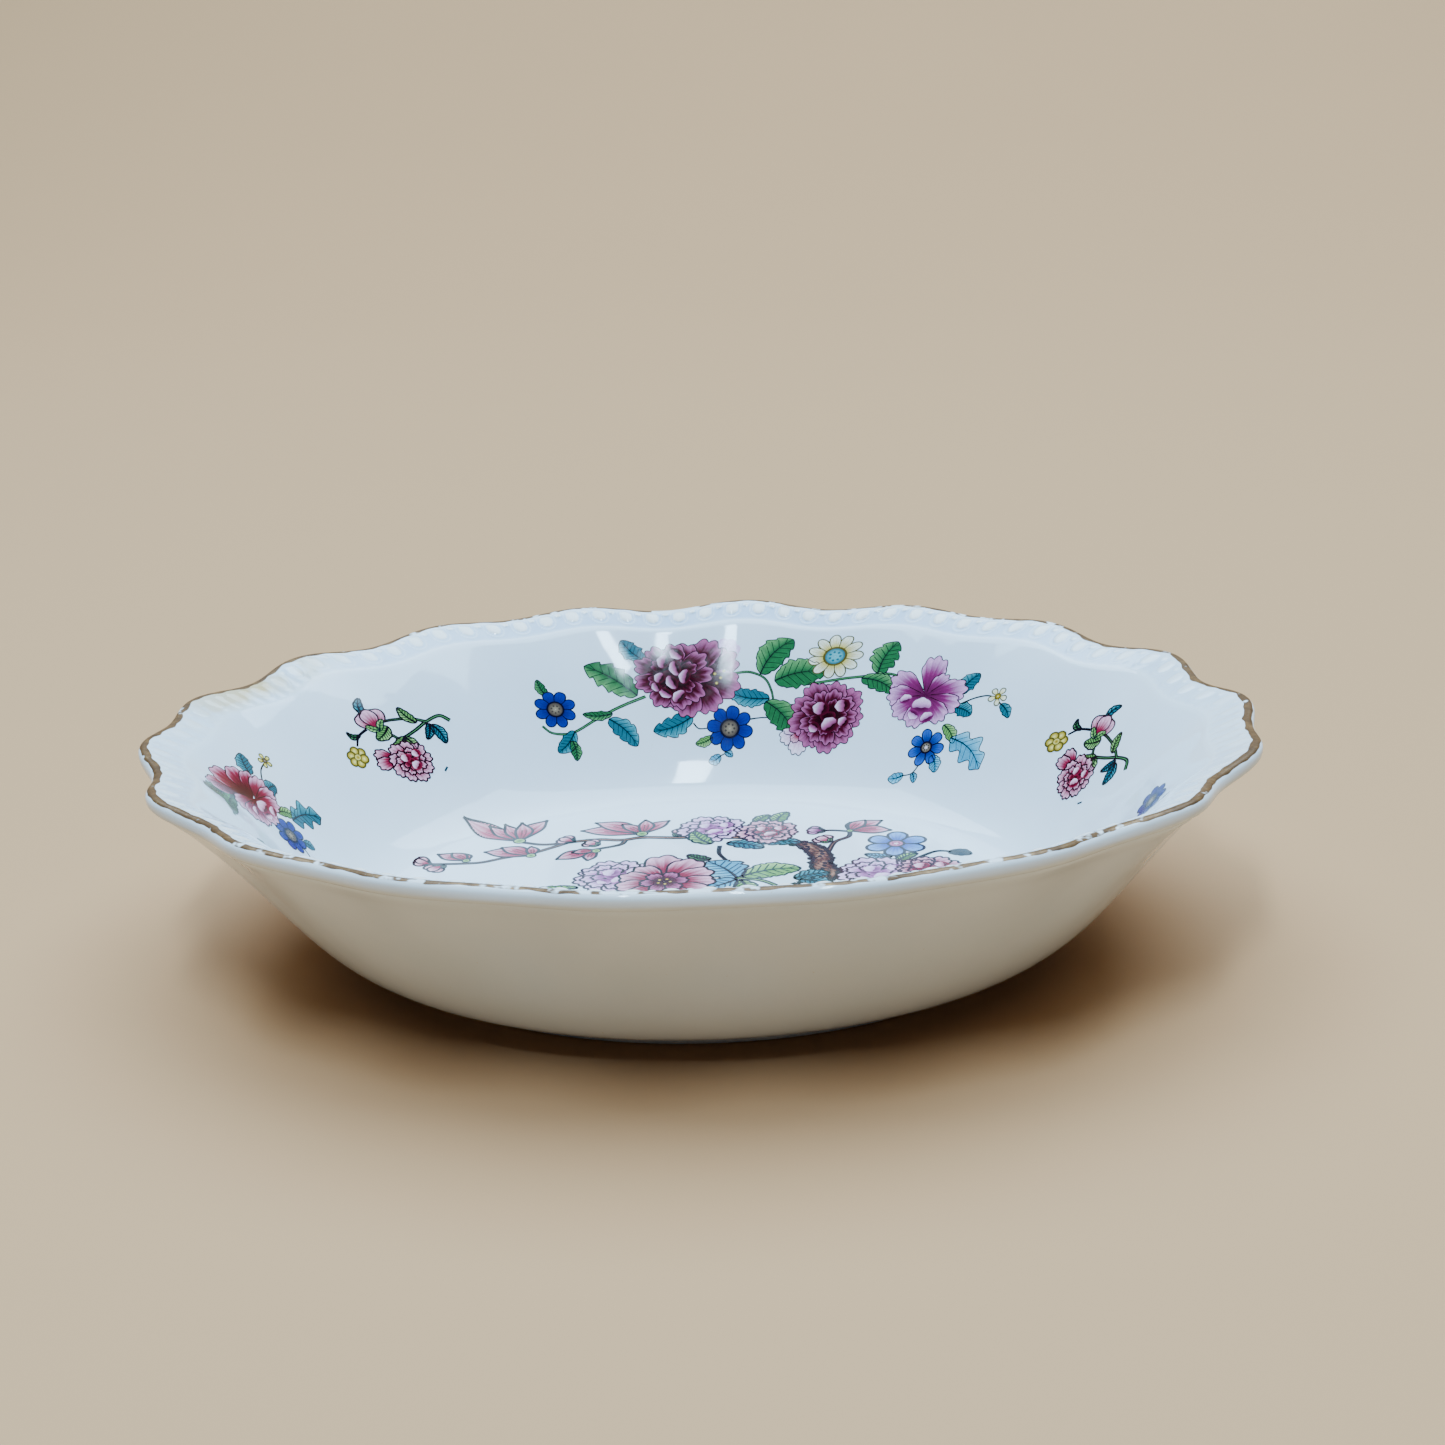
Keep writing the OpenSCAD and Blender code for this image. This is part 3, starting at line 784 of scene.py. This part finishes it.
def bud(art, base, tip, width, tones, layer, calyx=FRESH):
    """A closed bud: three overlapping petals in a green cup."""
    b, t = complex(*base), complex(*tip)
    way = math.degrees(np.angle(t - b))
    for k, swing in enumerate((-24, 24, 0)):
        petal(art, b, way + swing, abs(t - b), 0.3 + 0.25 * width / abs(t - b), tones, layer + k, frill=0.05,
              frills=2, fade=1.2)
    for swing in (-0.4, 0.4):
        end = b + (t - b) * (0.42 + swing * 1j)
        leaf(art, (b.real, b.imag), (end.real, end.imag), width * 0.32, calyx, layer + 4, teeth=1, bite=0,
             edge=HAIR)


def magnolia(art, base, tips, layer, width=0.36, swing=0.07):
    """Pointed petals opening from one cup, flushed with rose at the base."""
    b = complex(*base)
    for k, tip in enumerate(tips):
        t = complex(*tip)
        rows, cols = 22, 9
        s = np.linspace(0, 1, rows)[:, None]
        w = np.linspace(-1, 1, cols)
        half = width / 2 * abs(t - b) * np.sin(math.pi * s ** 1.25) ** 0.8 + 0.12
        way = (t - b) / abs(t - b)
        bow = swing * abs(t - b) * (-1 if t.real < b.real else 1)
        z = b + (t - b) * s + way * 1j * (w * half * (1 - s ** 6) + bow * np.sin(math.pi * s))
        art.start(layer + k)
        art.grid(z, blend(BLUSH, 0.16 + s ** 1.4 * 0.78 + 0.18 * np.sin(w * 9) * s + 0.12 * np.abs(w)))
        for side in (0, -1):
            art.line(z[:, side], FINE * 1.15, INK, 2)
        for vein in (3, 5):
            art.line(z[1:rows * 2 // 3, vein], HAIR, BLUSH[0])
    disc(art, b, 0.06 * abs(complex(*tips[0]) - b) + 0.45, FRESH, layer + len(tips) + 1, ink=INK, edge=HAIR)


def berries(art, centre, radius, layer):
    c = complex(*centre)
    for k in range(6):
        disc(art, c + radius * 0.62 * heading(60 * k + 23), radius * 0.42, YELLOW[::-1], layer, ink=OLIVE_INK)
    disc(art, c, radius * 0.32, YELLOW, layer + 2, ink=OLIVE_INK, edge=HAIR)


def side_spray(seed):
    """The long spray of the side walls: three peonies with blue flowers and leaves between."""
    art = Print(seed)
    for width, line in ((0.6, curve((-24, 0), (-32, -3.1), (-38, -5.6), (-44.4, -8.1), (-49.4, -7.5),
                                    (-51.6, -5.2))),
                        (0.5, curve((-1.9, 5), (1.9, 5.3), (5.6, 3.8), (7.5, 0.6), (8.4, -3))),
                        (0.6, curve((16, 3.2), (24.4, 4.8), (30.6, 5.6), (36.3, 6.6), (42, 5))),
                        (0.45, curve((56, 1.2), (60, 3.8), (63.8, 4.6), (69, 2.2))),
                        (0.4, curve((52, -15), (50.8, -18), (47.5, -19.2))),
                        (0.4, curve((-3, -14.5), (-4.2, -16.4), (-6.6, -17.4))),
                        (0.4, curve((-12.5, -8), (-11, -9.6), (-7.5, -9.4))),
                        (0.4, curve((2, -7.4), (5, -6.9), (8.6, -6.6)))):
        stem(art, line, width, 0)
    leaf(art, (-26, 0.3), (-37.3, 9.2), 6.8, GREEN, 2, teeth=5, bite=0.36, bend=-0.04)
    leaf(art, (-33, -4.3), (-40.6, -3.6), 2.4, GREEN, 2, teeth=3)
    leaf(art, (-47.9, 2.5), (-49.2, 7.6), 2.4, GREEN, 2, teeth=2)
    leaf(art, (-43.7, -7.8), (-49.6, -12.8), 4.0, TEAL, 2, teeth=3)
    leaf(art, (-45, -10.2), (-45.4, -15.6), 2.8, GREEN, 3, teeth=2)
    leaf(art, (-34.2, -5.6), (-28, -13.4), 5.2, TEAL, 2, teeth=4, bite=0.22)
    leaf(art, (-23.2, 10.4), (-27.6, 16), 4.8, TEAL, 2, teeth=3, bite=0.3)
    leaf(art, (-12.5, -6), (-23.2, -9.8), 5.4, TEAL, 2, teeth=4, bite=0.34)
    leaf(art, (-7.5, -12), (-12.2, -13.8), 2.6, FRESH, 3, teeth=2)
    leaf(art, (7.2, -1.6), (-3.6, 0), 4.6, TEAL, 3, teeth=6, bite=0.24)
    leaf(art, (4.4, 5), (11.6, 15.8), 6.6, GREEN, 3, teeth=5, bite=0.2)
    leaf(art, (8.1, 3.4), (20.6, 7.4), 7.8, GREEN, 2, teeth=6, bite=0.2)
    leaf(art, (6.3, -2.4), (14.8, -11), 7.0, GREEN, 3, teeth=5, bite=0.24)
    leaf(art, (33, 6.3), (35.4, 15.4), 6.2, GREEN, 2, teeth=4, bite=0.34)
    leaf(art, (29.4, 5), (38.6, 2.0), 4.6, GREEN, 2, teeth=4, bite=0.24)
    leaf(art, (55.2, 4.2), (57.8, 10), 4.2, TEAL, 2, teeth=3, bite=0.26)
    leaf(art, (55.4, 0.4), (60.4, -0.8), 3.6, TEAL, 2, teeth=3, bite=0.26)
    leaf(art, (54.4, -4.4), (59, -8.6), 3.0, FRESH, 2, teeth=2)
    leaf(art, (57.6, -7.4), (69.8, -13.4), 6.4, POWDER, 2, lobes=3, bend=0.1)
    leaf(art, (54.4, -12.6), (57.4, -16.6), 3.2, POWDER, 2, teeth=2)
    leaf(art, (48.6, -18.8), (44.6, -20.4), 2.8, POWDER, 2, teeth=2)
    leaf(art, (50.9, -17.8), (52.6, -20.2), 1.8, POWDER, 2, teeth=1)
    leaf(art, (-5.4, -17), (-8.8, -18.8), 2.6, POWDER, 2, teeth=2)
    leaf(art, (-4.2, -16), (-2, -17.2), 1.8, POWDER, 2, teeth=1)
    leaf(art, (66.8, 3.4), (70.8, 0.8), 2.6, TEAL, 2, teeth=2)
    round_flower(art, (-47, -1.2), 5.0, BLUE, 8, turn=12)
    round_flower(art, (-2.9, -9.8), 6.0, BLUE, 8, turn=35)
    round_flower(art, (52, -10.9), 4.8, (BLUE[1], SKY[0], SKY[1]), 8, petals=7, turn=5,
                 heart=(TAN[0], TAN[2], PALE[2]), heart_size=0.26)
    round_flower(art, (65, 5), 2.4, CREAM, 8, petals=5, ink=OLIVE_INK, heart=YELLOW, heart_size=0.26)
    round_flower(art, (21.9, 11.4), 6.2, (YELLOW[0], YELLOW[1], CREAM[2]), 6, petals=11, ink=OLIVE_INK,
                 heart=(TEAL[1], TEAL[2], TEAL[2]), heart_size=0.36, spread=0.3)
    # the dark globe, opening to the right with one pale petal above
    petal(art, complex(-9, 7), 42, 9.5, 0.55, LILAC, 5, frill=0.06, open_end=True)
    petal(art, complex(-9, 7), 68, 8.0, 0.5, LILAC, 6, frill=0.06, open_end=True)
    peony(art, (-12.6, 4.6), 12.0, MAROON, 10, GLOBE_PETALS, [], ball=(-0.34, 0.08, 0.74), fade=3.4)
    for k, (x, y, length, width, turn) in enumerate(BALL_CUPS):
        cup(art, complex(-14.6 + 12 * x * 0.9, 5.2 + 12 * y), 12 * length, 12 * width, turn, MAROON,
            40 + 2 * k)
    for x, y in ((-6.6, 5.2), (-5.2, 4.0), (-6.2, 2.6), (-4.4, 5.8)):
        disc(art, complex(x, y), 0.42, (YELLOW[2], YELLOW[1], YELLOW[0]), 70)
    # the crown, with two pale lobes hanging on its left
    petal(art, complex(16.5, -10), 205, 5.6, 0.6, PALE, 6, frill=0.12)
    petal(art, complex(16.5, -10), 262, 6.0, 0.6, PALE, 7, frill=0.12)
    petal(art, complex(16.5, -10), 232, 3.6, 0.5, ROSE, 8, frill=0.1)
    peony(art, (22.4, -5.6), 9.8, MAROON, 10, ROUND_PETALS, CROWN_CUPS, ball=(0.05, -0.02, 0.72), fade=3.0)
    # the open mauve one
    peony(art, (46.8, 2.4), 10.2, MAUVE, 10, WINGED_PETALS, WING_CUPS, fade=2.0)
    return art


def end_spray(seed, upside_down=False):
    """The short spray of the end walls, its blue flower hanging to the left or to the right."""
    art = Print(seed, pen=1.2)
    stem(art, curve((2, 3), (7.2, 7), (11.7, 7.8)), 0.45, 0)
    stem(art, curve((-24, 10.5), (-16, 10.6), (-8, 7)), 0.6, 0)
    stem(art, curve((-3.4, -11), (-4, -14), (-6.4, -16)), 0.4, 0)
    leaf(art, (-22.8, 10.5), (-7.8, 7.2), 4.6, GREEN, 2, teeth=5)
    leaf(art, (-9.8, 9.6), (-18.6, 18.4), 5.4, GREEN, 2, teeth=5, bite=0.2)
    leaf(art, (3.2, 8.5), (6.9, 13.8), 4.6, TEAL, 2, teeth=3, bite=0.26)
    leaf(art, (2.2, 3), (7.6, 2.4), 4.4, TEAL, 2, teeth=3, bite=0.26)
    leaf(art, (0, -2), (4.9, -6.2), 3.0, FRESH, 2, teeth=2)
    if upside_down:
        flower, broad = (7.0, -8.2), ((1, -9), (-8, -14))
    else:
        flower, broad = (-3.6, -8), ((2.5, -6.2), (13.2, -10.6))
    leaf(art, *broad, 6.4, TEAL, 2, lobes=3, bend=0.1)
    leaf(art, (-1, -11.4), (0.8, -14.6), 2.8, TEAL, 2, teeth=2)
    leaf(art, (-5.4, -15.4), (-8.6, -17.4), 2.8, POWDER, 2, teeth=2)
    round_flower(art, flower, 4.8, BLUE, 8, turn=20)
    round_flower(art, (12, 8), 2.0, YELLOW, 8, petals=5, ink=OLIVE_INK, heart_size=0.3)
    petal(art, complex(-4, 4), 126, 14.0, 0.26, ROSE, 6, frill=0.06, frills=3, fade=3.4, shade=0.1)
    petal(art, complex(-4, 4), 100, 11.5, 0.36, ROSE, 7, frill=0.06, frills=3, fade=3.4, shade=0.1)
    petal(art, complex(-4, 4), 70, 9.6, 0.40, ROSE, 8, frill=0.06, frills=3, fade=3.4, shade=0.1)
    petal(art, complex(-4, 4), 42, 8.6, 0.40, ROSE, 9, frill=0.06, frills=3, fade=3.4, shade=0.1)
    peony(art, (-3.4, 3.4), 8.6, ROSE, 11, WINGED_PETALS[2:], WING_CUPS, fade=2.2)
    if upside_down:
        for _, parts in art.patches:
            parts[:] = [(-z, tone, faces, level) for z, tone, faces, level in parts]
    return art


def sprig(seed):
    """The small sprig: a bud, a peony, berries and leaves on a forked stem."""
    art = Print(seed, pen=1.75)
    stem(art, curve((16.3, 2.1), (14.2, 4.3), (10.4, 3.6), (6.3, 1.7), (2.1, 0.4), (0.3, 2.1)), 0.7, 0,
         ink=INK)
    stem(art, curve((10.4, 3.6), (7.1, 5.4), (2.9, 6), (0.3, 6)), 0.6, 0, ink=INK)
    stem(art, curve((-4.6, 5.2), (-7.9, 4.2), (-10, 2.1)), 0.45, 0, ink=INK)
    leaf(art, (-7.3, 4.2), (-10.2, 6.6), 1.5, GREEN, 2, teeth=1, bend=0.25, ink=INK)
    leaf(art, (-3.1, 9.2), (-1.3, 13.8), 2.1, TEAL, 2, teeth=1, bend=0.12, ink=INK)
    leaf(art, (7.9, 3.9), (5.6, 9.3), 2.6, FRESH, 2, teeth=1, ink=INK)
    leaf(art, (0.8, 4.4), (-3.8, 1.6), 3.4, FRESH, 4, teeth=1, ink=INK)
    leaf(art, (3.1, 0.6), (-1.9, -2), 2.4, FRESH, 4, teeth=1, ink=INK)
    leaf(art, (3.2, 0.5), (4.5, -3.4), 2.6, FRESH, 5, teeth=1, ink=INK)
    leaf(art, (10.8, 2.9), (8.4, -1.5), 2.1, TEAL, 2, teeth=1, ink=INK)
    leaf(art, (11.3, 2.4), (12.6, -3.8), 2.9, TEAL, 3, teeth=1, ink=INK)
    bud(art, (-1.6, 3.8), (-2.4, 10), 5.2, ROSE, 5)
    berries(art, (-11.9, -0.4), 2.9, 5)
    for k, way in enumerate((150, 176)):
        petal(art, complex(-1.2, -5), way, 6.4, 0.42, ROSE, 5 + k, frill=0.1, fade=2)
    peony(art, (1.2, -6.2), 5.9, ROSE, 8, ROUND_PETALS, CROWN_CUPS[:3], ball=(0, 0, 0.62), fade=1.9)
    art.start(2)
    art.line(curve((8.4, -11.2), (9.6, -10.2), per_span=4), 0.3, TEAL[0])
    return art


def trunk(art, points, widths, layer):
    """A gnarled trunk: barred with dark strokes, its two edges uneven."""
    line = curve(*points, per_span=12)
    n = len(line)
    w = np.interp(np.linspace(0, 1, n), np.linspace(0, 1, len(widths)), widths)
    d = np.gradient(line)
    side = 1j * d / abs(d)
    rough = art.rng.uniform(-0.6, 0.6, (2, n))
    across = np.linspace(-0.5, 0.5, 9)[:, None]
    edge = across * w + np.where(across < 0, rough[0], rough[1]) * np.abs(across) * 2
    z = line + side * edge
    s = np.linspace(0, 1, n)
    grain = 0.55 + 0.3 * np.sin(26 * across + 9 * np.sin(30 * s)) + 0.2 * np.sin(70 * s + 5 * across)
    art.start(layer)
    art.grid(z, blend(BARK, grain - 0.5 * np.abs(across)))
    for k in (0, -1):
        art.line(z[k], BOLD * 1.3, INK, 2)
    for k in range(2, n - 5, 3):
        row = (0, 5, 2, 7, 3)[k % 5]
        bar = z[row, k:k + 4] + (0.5 - row / 8) * side[k:k + 4] * np.linspace(0, 2.2, 4)
        art.line(bar, BOLD * 1.2 * np.array([0.5, 1.0, 0.9, 0.3]), INK, 3)


def flowering_tree(seed):
    """The floor's print: blossom boughs on a gnarled trunk with peonies under it."""
    art = Print(seed, pen=2.7)
    wood = dict(tones=BARK, ink=INK)
    stem(art, curve((18, 33.6), (8, 36), (-4, 36.6), (-12, 36), (-20, 36), (-25, 34.2), (-31, 34.4),
                    (-38, 32.5)), 1.5, 1, **wood)
    stem(art, curve((-38, 32.5), (-42, 28.4), (-46, 25), (-52, 22), (-57, 19), (-63, 18), (-69, 17.6)),
         1.0, 1, **wood)
    stem(art, curve((-24, 34), (-25, 31), (-31, 27.6)), 0.9, 1, **wood)
    stem(art, curve((-37, 32.6), (-44, 30.8), (-51, 32.6)), 0.9, 1, **wood)
    stem(art, curve((27, 28), (28, 34), (31, 37.6), (31, 41.4)), 0.9, 1, **wood)
    stem(art, curve((31, 41), (27, 41.6), (24, 41.4)), 0.6, 1, **wood)
    stem(art, curve((0, 31), (0.6, 26), (3, 21.6)), 0.6, 1)
    stem(art, curve((45, 20), (49, 24.6), (53, 28.6), (57, 28.4)), 0.6, 1)
    stem(art, curve((43, 29), (43.4, 26), (45, 22)), 0.6, 1)
    stem(art, curve((6.4, 11), (13, 9.6), (18.6, 5)), 1.1, 1, tones=FRESH)
    stem(art, curve((22, -1), (14, -7), (4, -9), (-8, -7)), 0.9, 1, tones=FRESH)
    stem(art, curve((24, -2), (33, -6), (42, -5)), 0.8, 1, tones=FRESH)
    stem(art, curve((13, -19), (2, -22), (-12, -19), (-26, -15), (-38, -17)), 1.0, 1, **wood)
    stem(art, curve((10, -30), (22, -27), (33, -23), (46, -19)), 0.9, 1, tones=FRESH)
    stem(art, curve((7, -34), (-6, -35), (-20, -31), (-32, -33)), 0.9, 1, tones=FRESH)
    trunk(art, ((3, -42), (8, -35), (11, -26), (15, -18), (16, -9), (19, -3), (20, 3), (25, 8), (28, 14),
                (26, 20), (25.4, 26), (22, 31), (17, 33.8)),
          (12, 8.5, 7.6, 8, 7, 6.2, 5.6, 5.0, 5.8, 4.8, 5.2, 4.0, 2.0), 3)
    magnolia(art, (-50.6, 33), ((-66.4, 39.8), (-46.4, 47.0), (-60.2, 40.4), (-56.6, 42.6), (-52.6, 44.6)), 6,
             width=0.36)
    magnolia(art, (-20.6, 38.4), ((-36.6, 40), (-34, 45.6), (-15, 47.6), (-27, 44.6), (-21.4, 48)), 6,
             width=0.38)
    magnolia(art, (-45.6, 23.6), ((-58, 25.6), (-54.4, 28.6), (-47, 29.6)), 6, width=0.46)
    magnolia(art, (-61, 20), ((-69.2, 23.4), (-62.6, 24.6), (-66, 24.8)), 6, width=0.46)
    magnolia(art, (-30, 27), ((-39, 21.2), (-31, 20.6), (-36, 25.6)), 6, width=0.46)
    magnolia(art, (31, 41.4), ((30.6, 47.4), (38.6, 48.6), (41.4, 42), (34.4, 48.8)), 6, width=0.46)
    magnolia(art, (-39, -17), ((-52, -15), (-48.6, -10.4), (-37, -8.6), (-43.4, -8)), 6, width=0.42)
    bud(art, (-25, -14.6), (-29.6, -10.2), 3.6, BLUSH, 6)
    bud(art, (-36.4, 32.8), (-40.6, 34.8), 2.6, BLUSH, 8)
    bud(art, (-30, 30.6), (-33.6, 32.8), 3.6, BLUSH, 8)
    bud(art, (-11.4, 36.6), (-9.6, 41.4), 3.6, BLUSH, 6)
    bud(art, (-69, 17.6), (-73.2, 18.6), 1.8, BLUSH, 6)
    bud(art, (-66, 17.4), (-68.6, 13.4), 3.2, BLUSH, 6)
    bud(art, (25, 41.4), (20.6, 41.6), 2.8, MAUVE, 6)
    bud(art, (27, 34), (23.6, 37), 4.0, BLUSH, 6)
    leaf(art, (-2.4, 32), (-8, 40), 4.6, FRESH, 40, teeth=4)
    leaf(art, (-1, 22), (-7, 25), 3.4, GREEN, 3, teeth=3)
    leaf(art, (1.6, 33), (11, 29.8), 5.0, TEAL, 3, teeth=4, bite=0.24)
    leaf(art, (9, 33.4), (20, 33.6), 4.8, TEAL, 3, teeth=4, bite=0.24)
    leaf(art, (7, 46), (9.6, 52), 3.4, FRESH, 3, teeth=2)
    leaf(art, (12, 46), (14, 54), 4.4, FRESH, 3, teeth=3)
    leaf(art, (7, 11), (-1.4, 20.8), 10.4, POWDER, 3, teeth=4, bite=0.3, bend=-0.06)
    leaf(art, (7, 10), (-3.4, 3), 8.4, POWDER, 4, teeth=3, bite=0.3)
    leaf(art, (8, 12), (21.4, 17.4), 8.4, FRESH, 3, teeth=8, bend=0.1)
    leaf(art, (8, 9.6), (10.6, 1), 5.2, FRESH, 3, teeth=5)
    leaf(art, (20.6, 11), (28.6, 14.8), 5.4, TEAL, 8, teeth=4, bite=0.3)
    leaf(art, (22, 10.4), (30, 7), 5.4, TEAL, 8, teeth=4, bite=0.3)
    leaf(art, (-30, 4), (-40, 3), 4.6, FRESH, 3, teeth=5)
    leaf(art, (44, 22), (48.4, 27.4), 3.4, FRESH, 3, teeth=3)
    leaf(art, (42.6, 25), (36, 26.4), 3.2, POWDER, 3, teeth=2)
    leaf(art, (56, 28.4), (61.4, 27), 3.8, DEEP_TEAL, 3, teeth=2)
    leaf(art, (4, -9), (-4, -15), 5.4, TEAL, 3, teeth=4)
    leaf(art, (12, -8), (8, -17), 5.4, GREEN, 3, teeth=5)
    leaf(art, (36, -6), (42, -13), 5.4, GREEN, 3, teeth=5)
    leaf(art, (30, -4), (27, -14), 5.4, TEAL, 3, teeth=5, bite=0.2)
    for base, tip, width, tones in (((1, -41), (-13, -45), 5.0, FRESH), ((6, -41), (19, -46), 5.0, GREEN),
                                    ((-2, -41), (-8, -50), 4.4, TEAL), ((5, -42), (8, -52), 4.4, FRESH),
                                    ((20, -27), (24, -37), 5.2, TEAL), ((40, -20), (37, -33), 5.4, GREEN),
                                    ((46, -19), (56, -24), 5.0, TEAL), ((-30, -33), (-41, -28), 5.4, TEAL),
                                    ((-14, -33), (-10, -25), 4.4, GREEN),
                                    ((-31, -33), (-37, -39), 4.6, FRESH)):
        leaf(art, base, tip, width, tones, 3, teeth=4, bite=0.24)
    round_flower(art, (49, -15), 4.6, BLUE, 6, turn=15)
    round_flower(art, (-33, -33), 4.0, SKY, 6, petals=6, heart_size=0.26)
    round_flower(art, (43, 33.2), 7.4, SKY, 6, petals=6, turn=30, heart=(PALE[0], PALE[1], PALE[2]),
                 heart_size=0.22, spread=0.5)
    round_flower(art, (-12, -8), 4.8, BLUE, 6, turn=10)
    round_flower(art, (44, -5), 4.6, CREAM, 6, petals=9, ink=OLIVE_INK, heart=TEAL, heart_size=0.32,
                 spread=0.34)
    peony(art, (-3.6, 42), 8.6, LILAC, 8, ROUND_PETALS, CROWN_CUPS, ball=(0, 0, 0.66), fade=1.2)
    peony(art, (10.6, 40.4), 7.6, ROSE, 34, ROUND_PETALS, CROWN_CUPS[:3], ball=(0, 0, 0.66), fade=1.6)
    peony(art, (-22, 11), 10.0, LILAC, 8, ROUND_PETALS, CROWN_CUPS, ball=(-0.1, 0, 0.7), fade=1.3)
    lengths = (15.4, 14, 12, 11.4, 11.4, 12, 11, 11, 11, 11)
    for k, way in enumerate((100, 68, 36, 4, -28, -60, 132, 164, 200, 236)):
        petal(art, complex(-10, 8), way, lengths[k], 0.46, ROSE, 50 + k, ink=INK, frill=0.08, frills=3,
              fade=1.7)
    for k in range(6):
        petal(art, complex(-10, 8), 60 * k + 15, 5.4, 0.56, MAROON, 62 + k % 3, frill=0.1, fade=1.4)
    for k in range(5):
        disc(art, complex(-10, 8) + 1.5 * heading(72 * k), 0.4, YELLOW[::-1], 68)
    peony(art, (-20, -30), 8.8, MAUVE, 8, ROUND_PETALS, CROWN_CUPS, ball=(0, 0, 0.66), fade=1.6)
    peony(art, (31, -23), 8.4, ROSE, 8, GLOBE_PETALS, CROWN_CUPS[:3], ball=(-0.1, 0, 0.6), fade=1.8)
    peony(art, (40, 15), 9.6, LILAC, 8, ROUND_PETALS, CROWN_CUPS, ball=(-0.1, 0, 0.66), fade=1.3)
    peony(art, (51.4, 17.4), 8.6, ROSE, 34, GLOBE_PETALS, CROWN_CUPS[:3], ball=(-0.1, 0, 0.6), fade=1.8)
    return art


flowering_tree(3).lay("tree_print", Well(), "centre_tree_transfer")
side_spray(11).lay("back_spray_print", Wall(90, 0.715), "back_spray_transfer")
side_spray(12).lay("front_spray_print", Wall(270, 0.715), "front_spray_transfer")
end_spray(21).lay("left_end_spray_print", Wall(183, 0.72), "left_end_spray_transfer")
end_spray(22, True).lay("right_end_spray_print", Wall(350, 0.66), "right_end_spray_transfer")
for spot, angle in (("back_left", 147.2), ("back_right", 26), ("front_left", 212.8), ("front_right", 327)):
    sprig(31).lay(spot + "_sprig_print", Wall(angle, 0.70), spot + "_sprig_transfer")

# ---------------------------------------------------------------------------
# Stage, lights and camera
# ---------------------------------------------------------------------------
def plain_material(name, colour):
    mat, tree, shader, co = node_material(name)
    shader.inputs["Roughness"].default_value = 0.75
    tone = ramp(tree, noise(tree, co, 3, 2), [(0.3, tuple(c * 0.985 for c in colour)), (0.7, colour)])
    tree.links.new(tone, shader.inputs["Base Color"])
    return mat


def make_floor():
    """A paper sweep: flat under the bowl, then a long gentle rise behind it."""
    half, front, bend, radius = 6.0, -3.0, 0.9, 2.4
    line = [(front, 0.0), (bend, 0.0)]
    line += [(bend + radius * math.sin(a), radius - radius * math.cos(a))
             for a in np.linspace(0.02, math.pi / 2, 48)]
    points = [(x, y, z) for y, z in line for x in (-half, half)]
    faces = [(2 * i, 2 * i + 1, 2 * i + 3, 2 * i + 2) for i in range(len(line) - 1)]
    mesh = bpy.data.meshes.new("floor")
    mesh.from_pydata(points, [], faces)
    mesh.shade_smooth()
    mesh.materials.append(plain_material("floor_paper", (0.52, 0.285, 0.135)))
    floor = bpy.data.objects.new("floor", mesh)
    bpy.context.scene.collection.objects.link(floor)


def area_light(name, place, aim, size, power, colour):
    data = bpy.data.lights.new(name, "AREA")
    data.shape = "RECTANGLE"
    data.size, data.size_y = size
    data.energy = power
    data.color = colour
    lamp = bpy.data.objects.new(name, data)
    lamp.location = place
    lamp.rotation_euler = (Vector(aim) - Vector(place)).to_track_quat("-Z", "Y").to_euler()
    bpy.context.scene.collection.objects.link(lamp)


def make_lights():
    bowl = (0, 0, 0.03)
    cool = (0.56, 0.80, 1.0)
    area_light("ceiling", (0, 0.80, 2.2), (0, 0.80, 0), (3.2, 2.5), 205, cool)
    area_light("window", (0.0, -0.55, 1.08), bowl, (0.13, 0.50), 12, cool)
    world = bpy.data.worlds.new("studio")
    world.use_nodes = True
    back = world.node_tree.nodes["Background"]
    back.inputs[0].default_value = (0.85, 0.92, 1.0, 1)
    back.inputs[1].default_value = 0.06
    bpy.context.scene.world = world


CAM_AZ, CAM_EL, CAM_ROLL = math.radians(9), math.radians(18.82), math.radians(-2.95)
CAM_DIST, CAM_SIDE, CAM_AIM_H = 520 * MM, 7.08 * MM, 50.7 * MM
CAM_LENS = 57.31


def make_camera():
    back = Vector((math.sin(CAM_AZ) * math.cos(CAM_EL), -math.cos(CAM_AZ) * math.cos(CAM_EL),
                   math.sin(CAM_EL)))
    level = Vector((math.cos(CAM_AZ), math.sin(CAM_AZ), 0))
    rise = back.cross(level)
    right = level * math.cos(CAM_ROLL) + rise * math.sin(CAM_ROLL)
    up = rise * math.cos(CAM_ROLL) - level * math.sin(CAM_ROLL)
    place = level * CAM_SIDE + Vector((0, 0, CAM_AIM_H)) + back * CAM_DIST
    data = bpy.data.cameras.new("camera")
    data.sensor_width = 36
    data.lens = CAM_LENS
    data.clip_start = 0.01
    cam = bpy.data.objects.new("camera", data)
    turn = Matrix((right, up, back)).transposed().to_4x4()
    cam.matrix_world = Matrix.Translation(place) @ turn
    bpy.context.scene.collection.objects.link(cam)
    bpy.context.scene.camera = cam


make_floor()
make_lights()
make_camera()
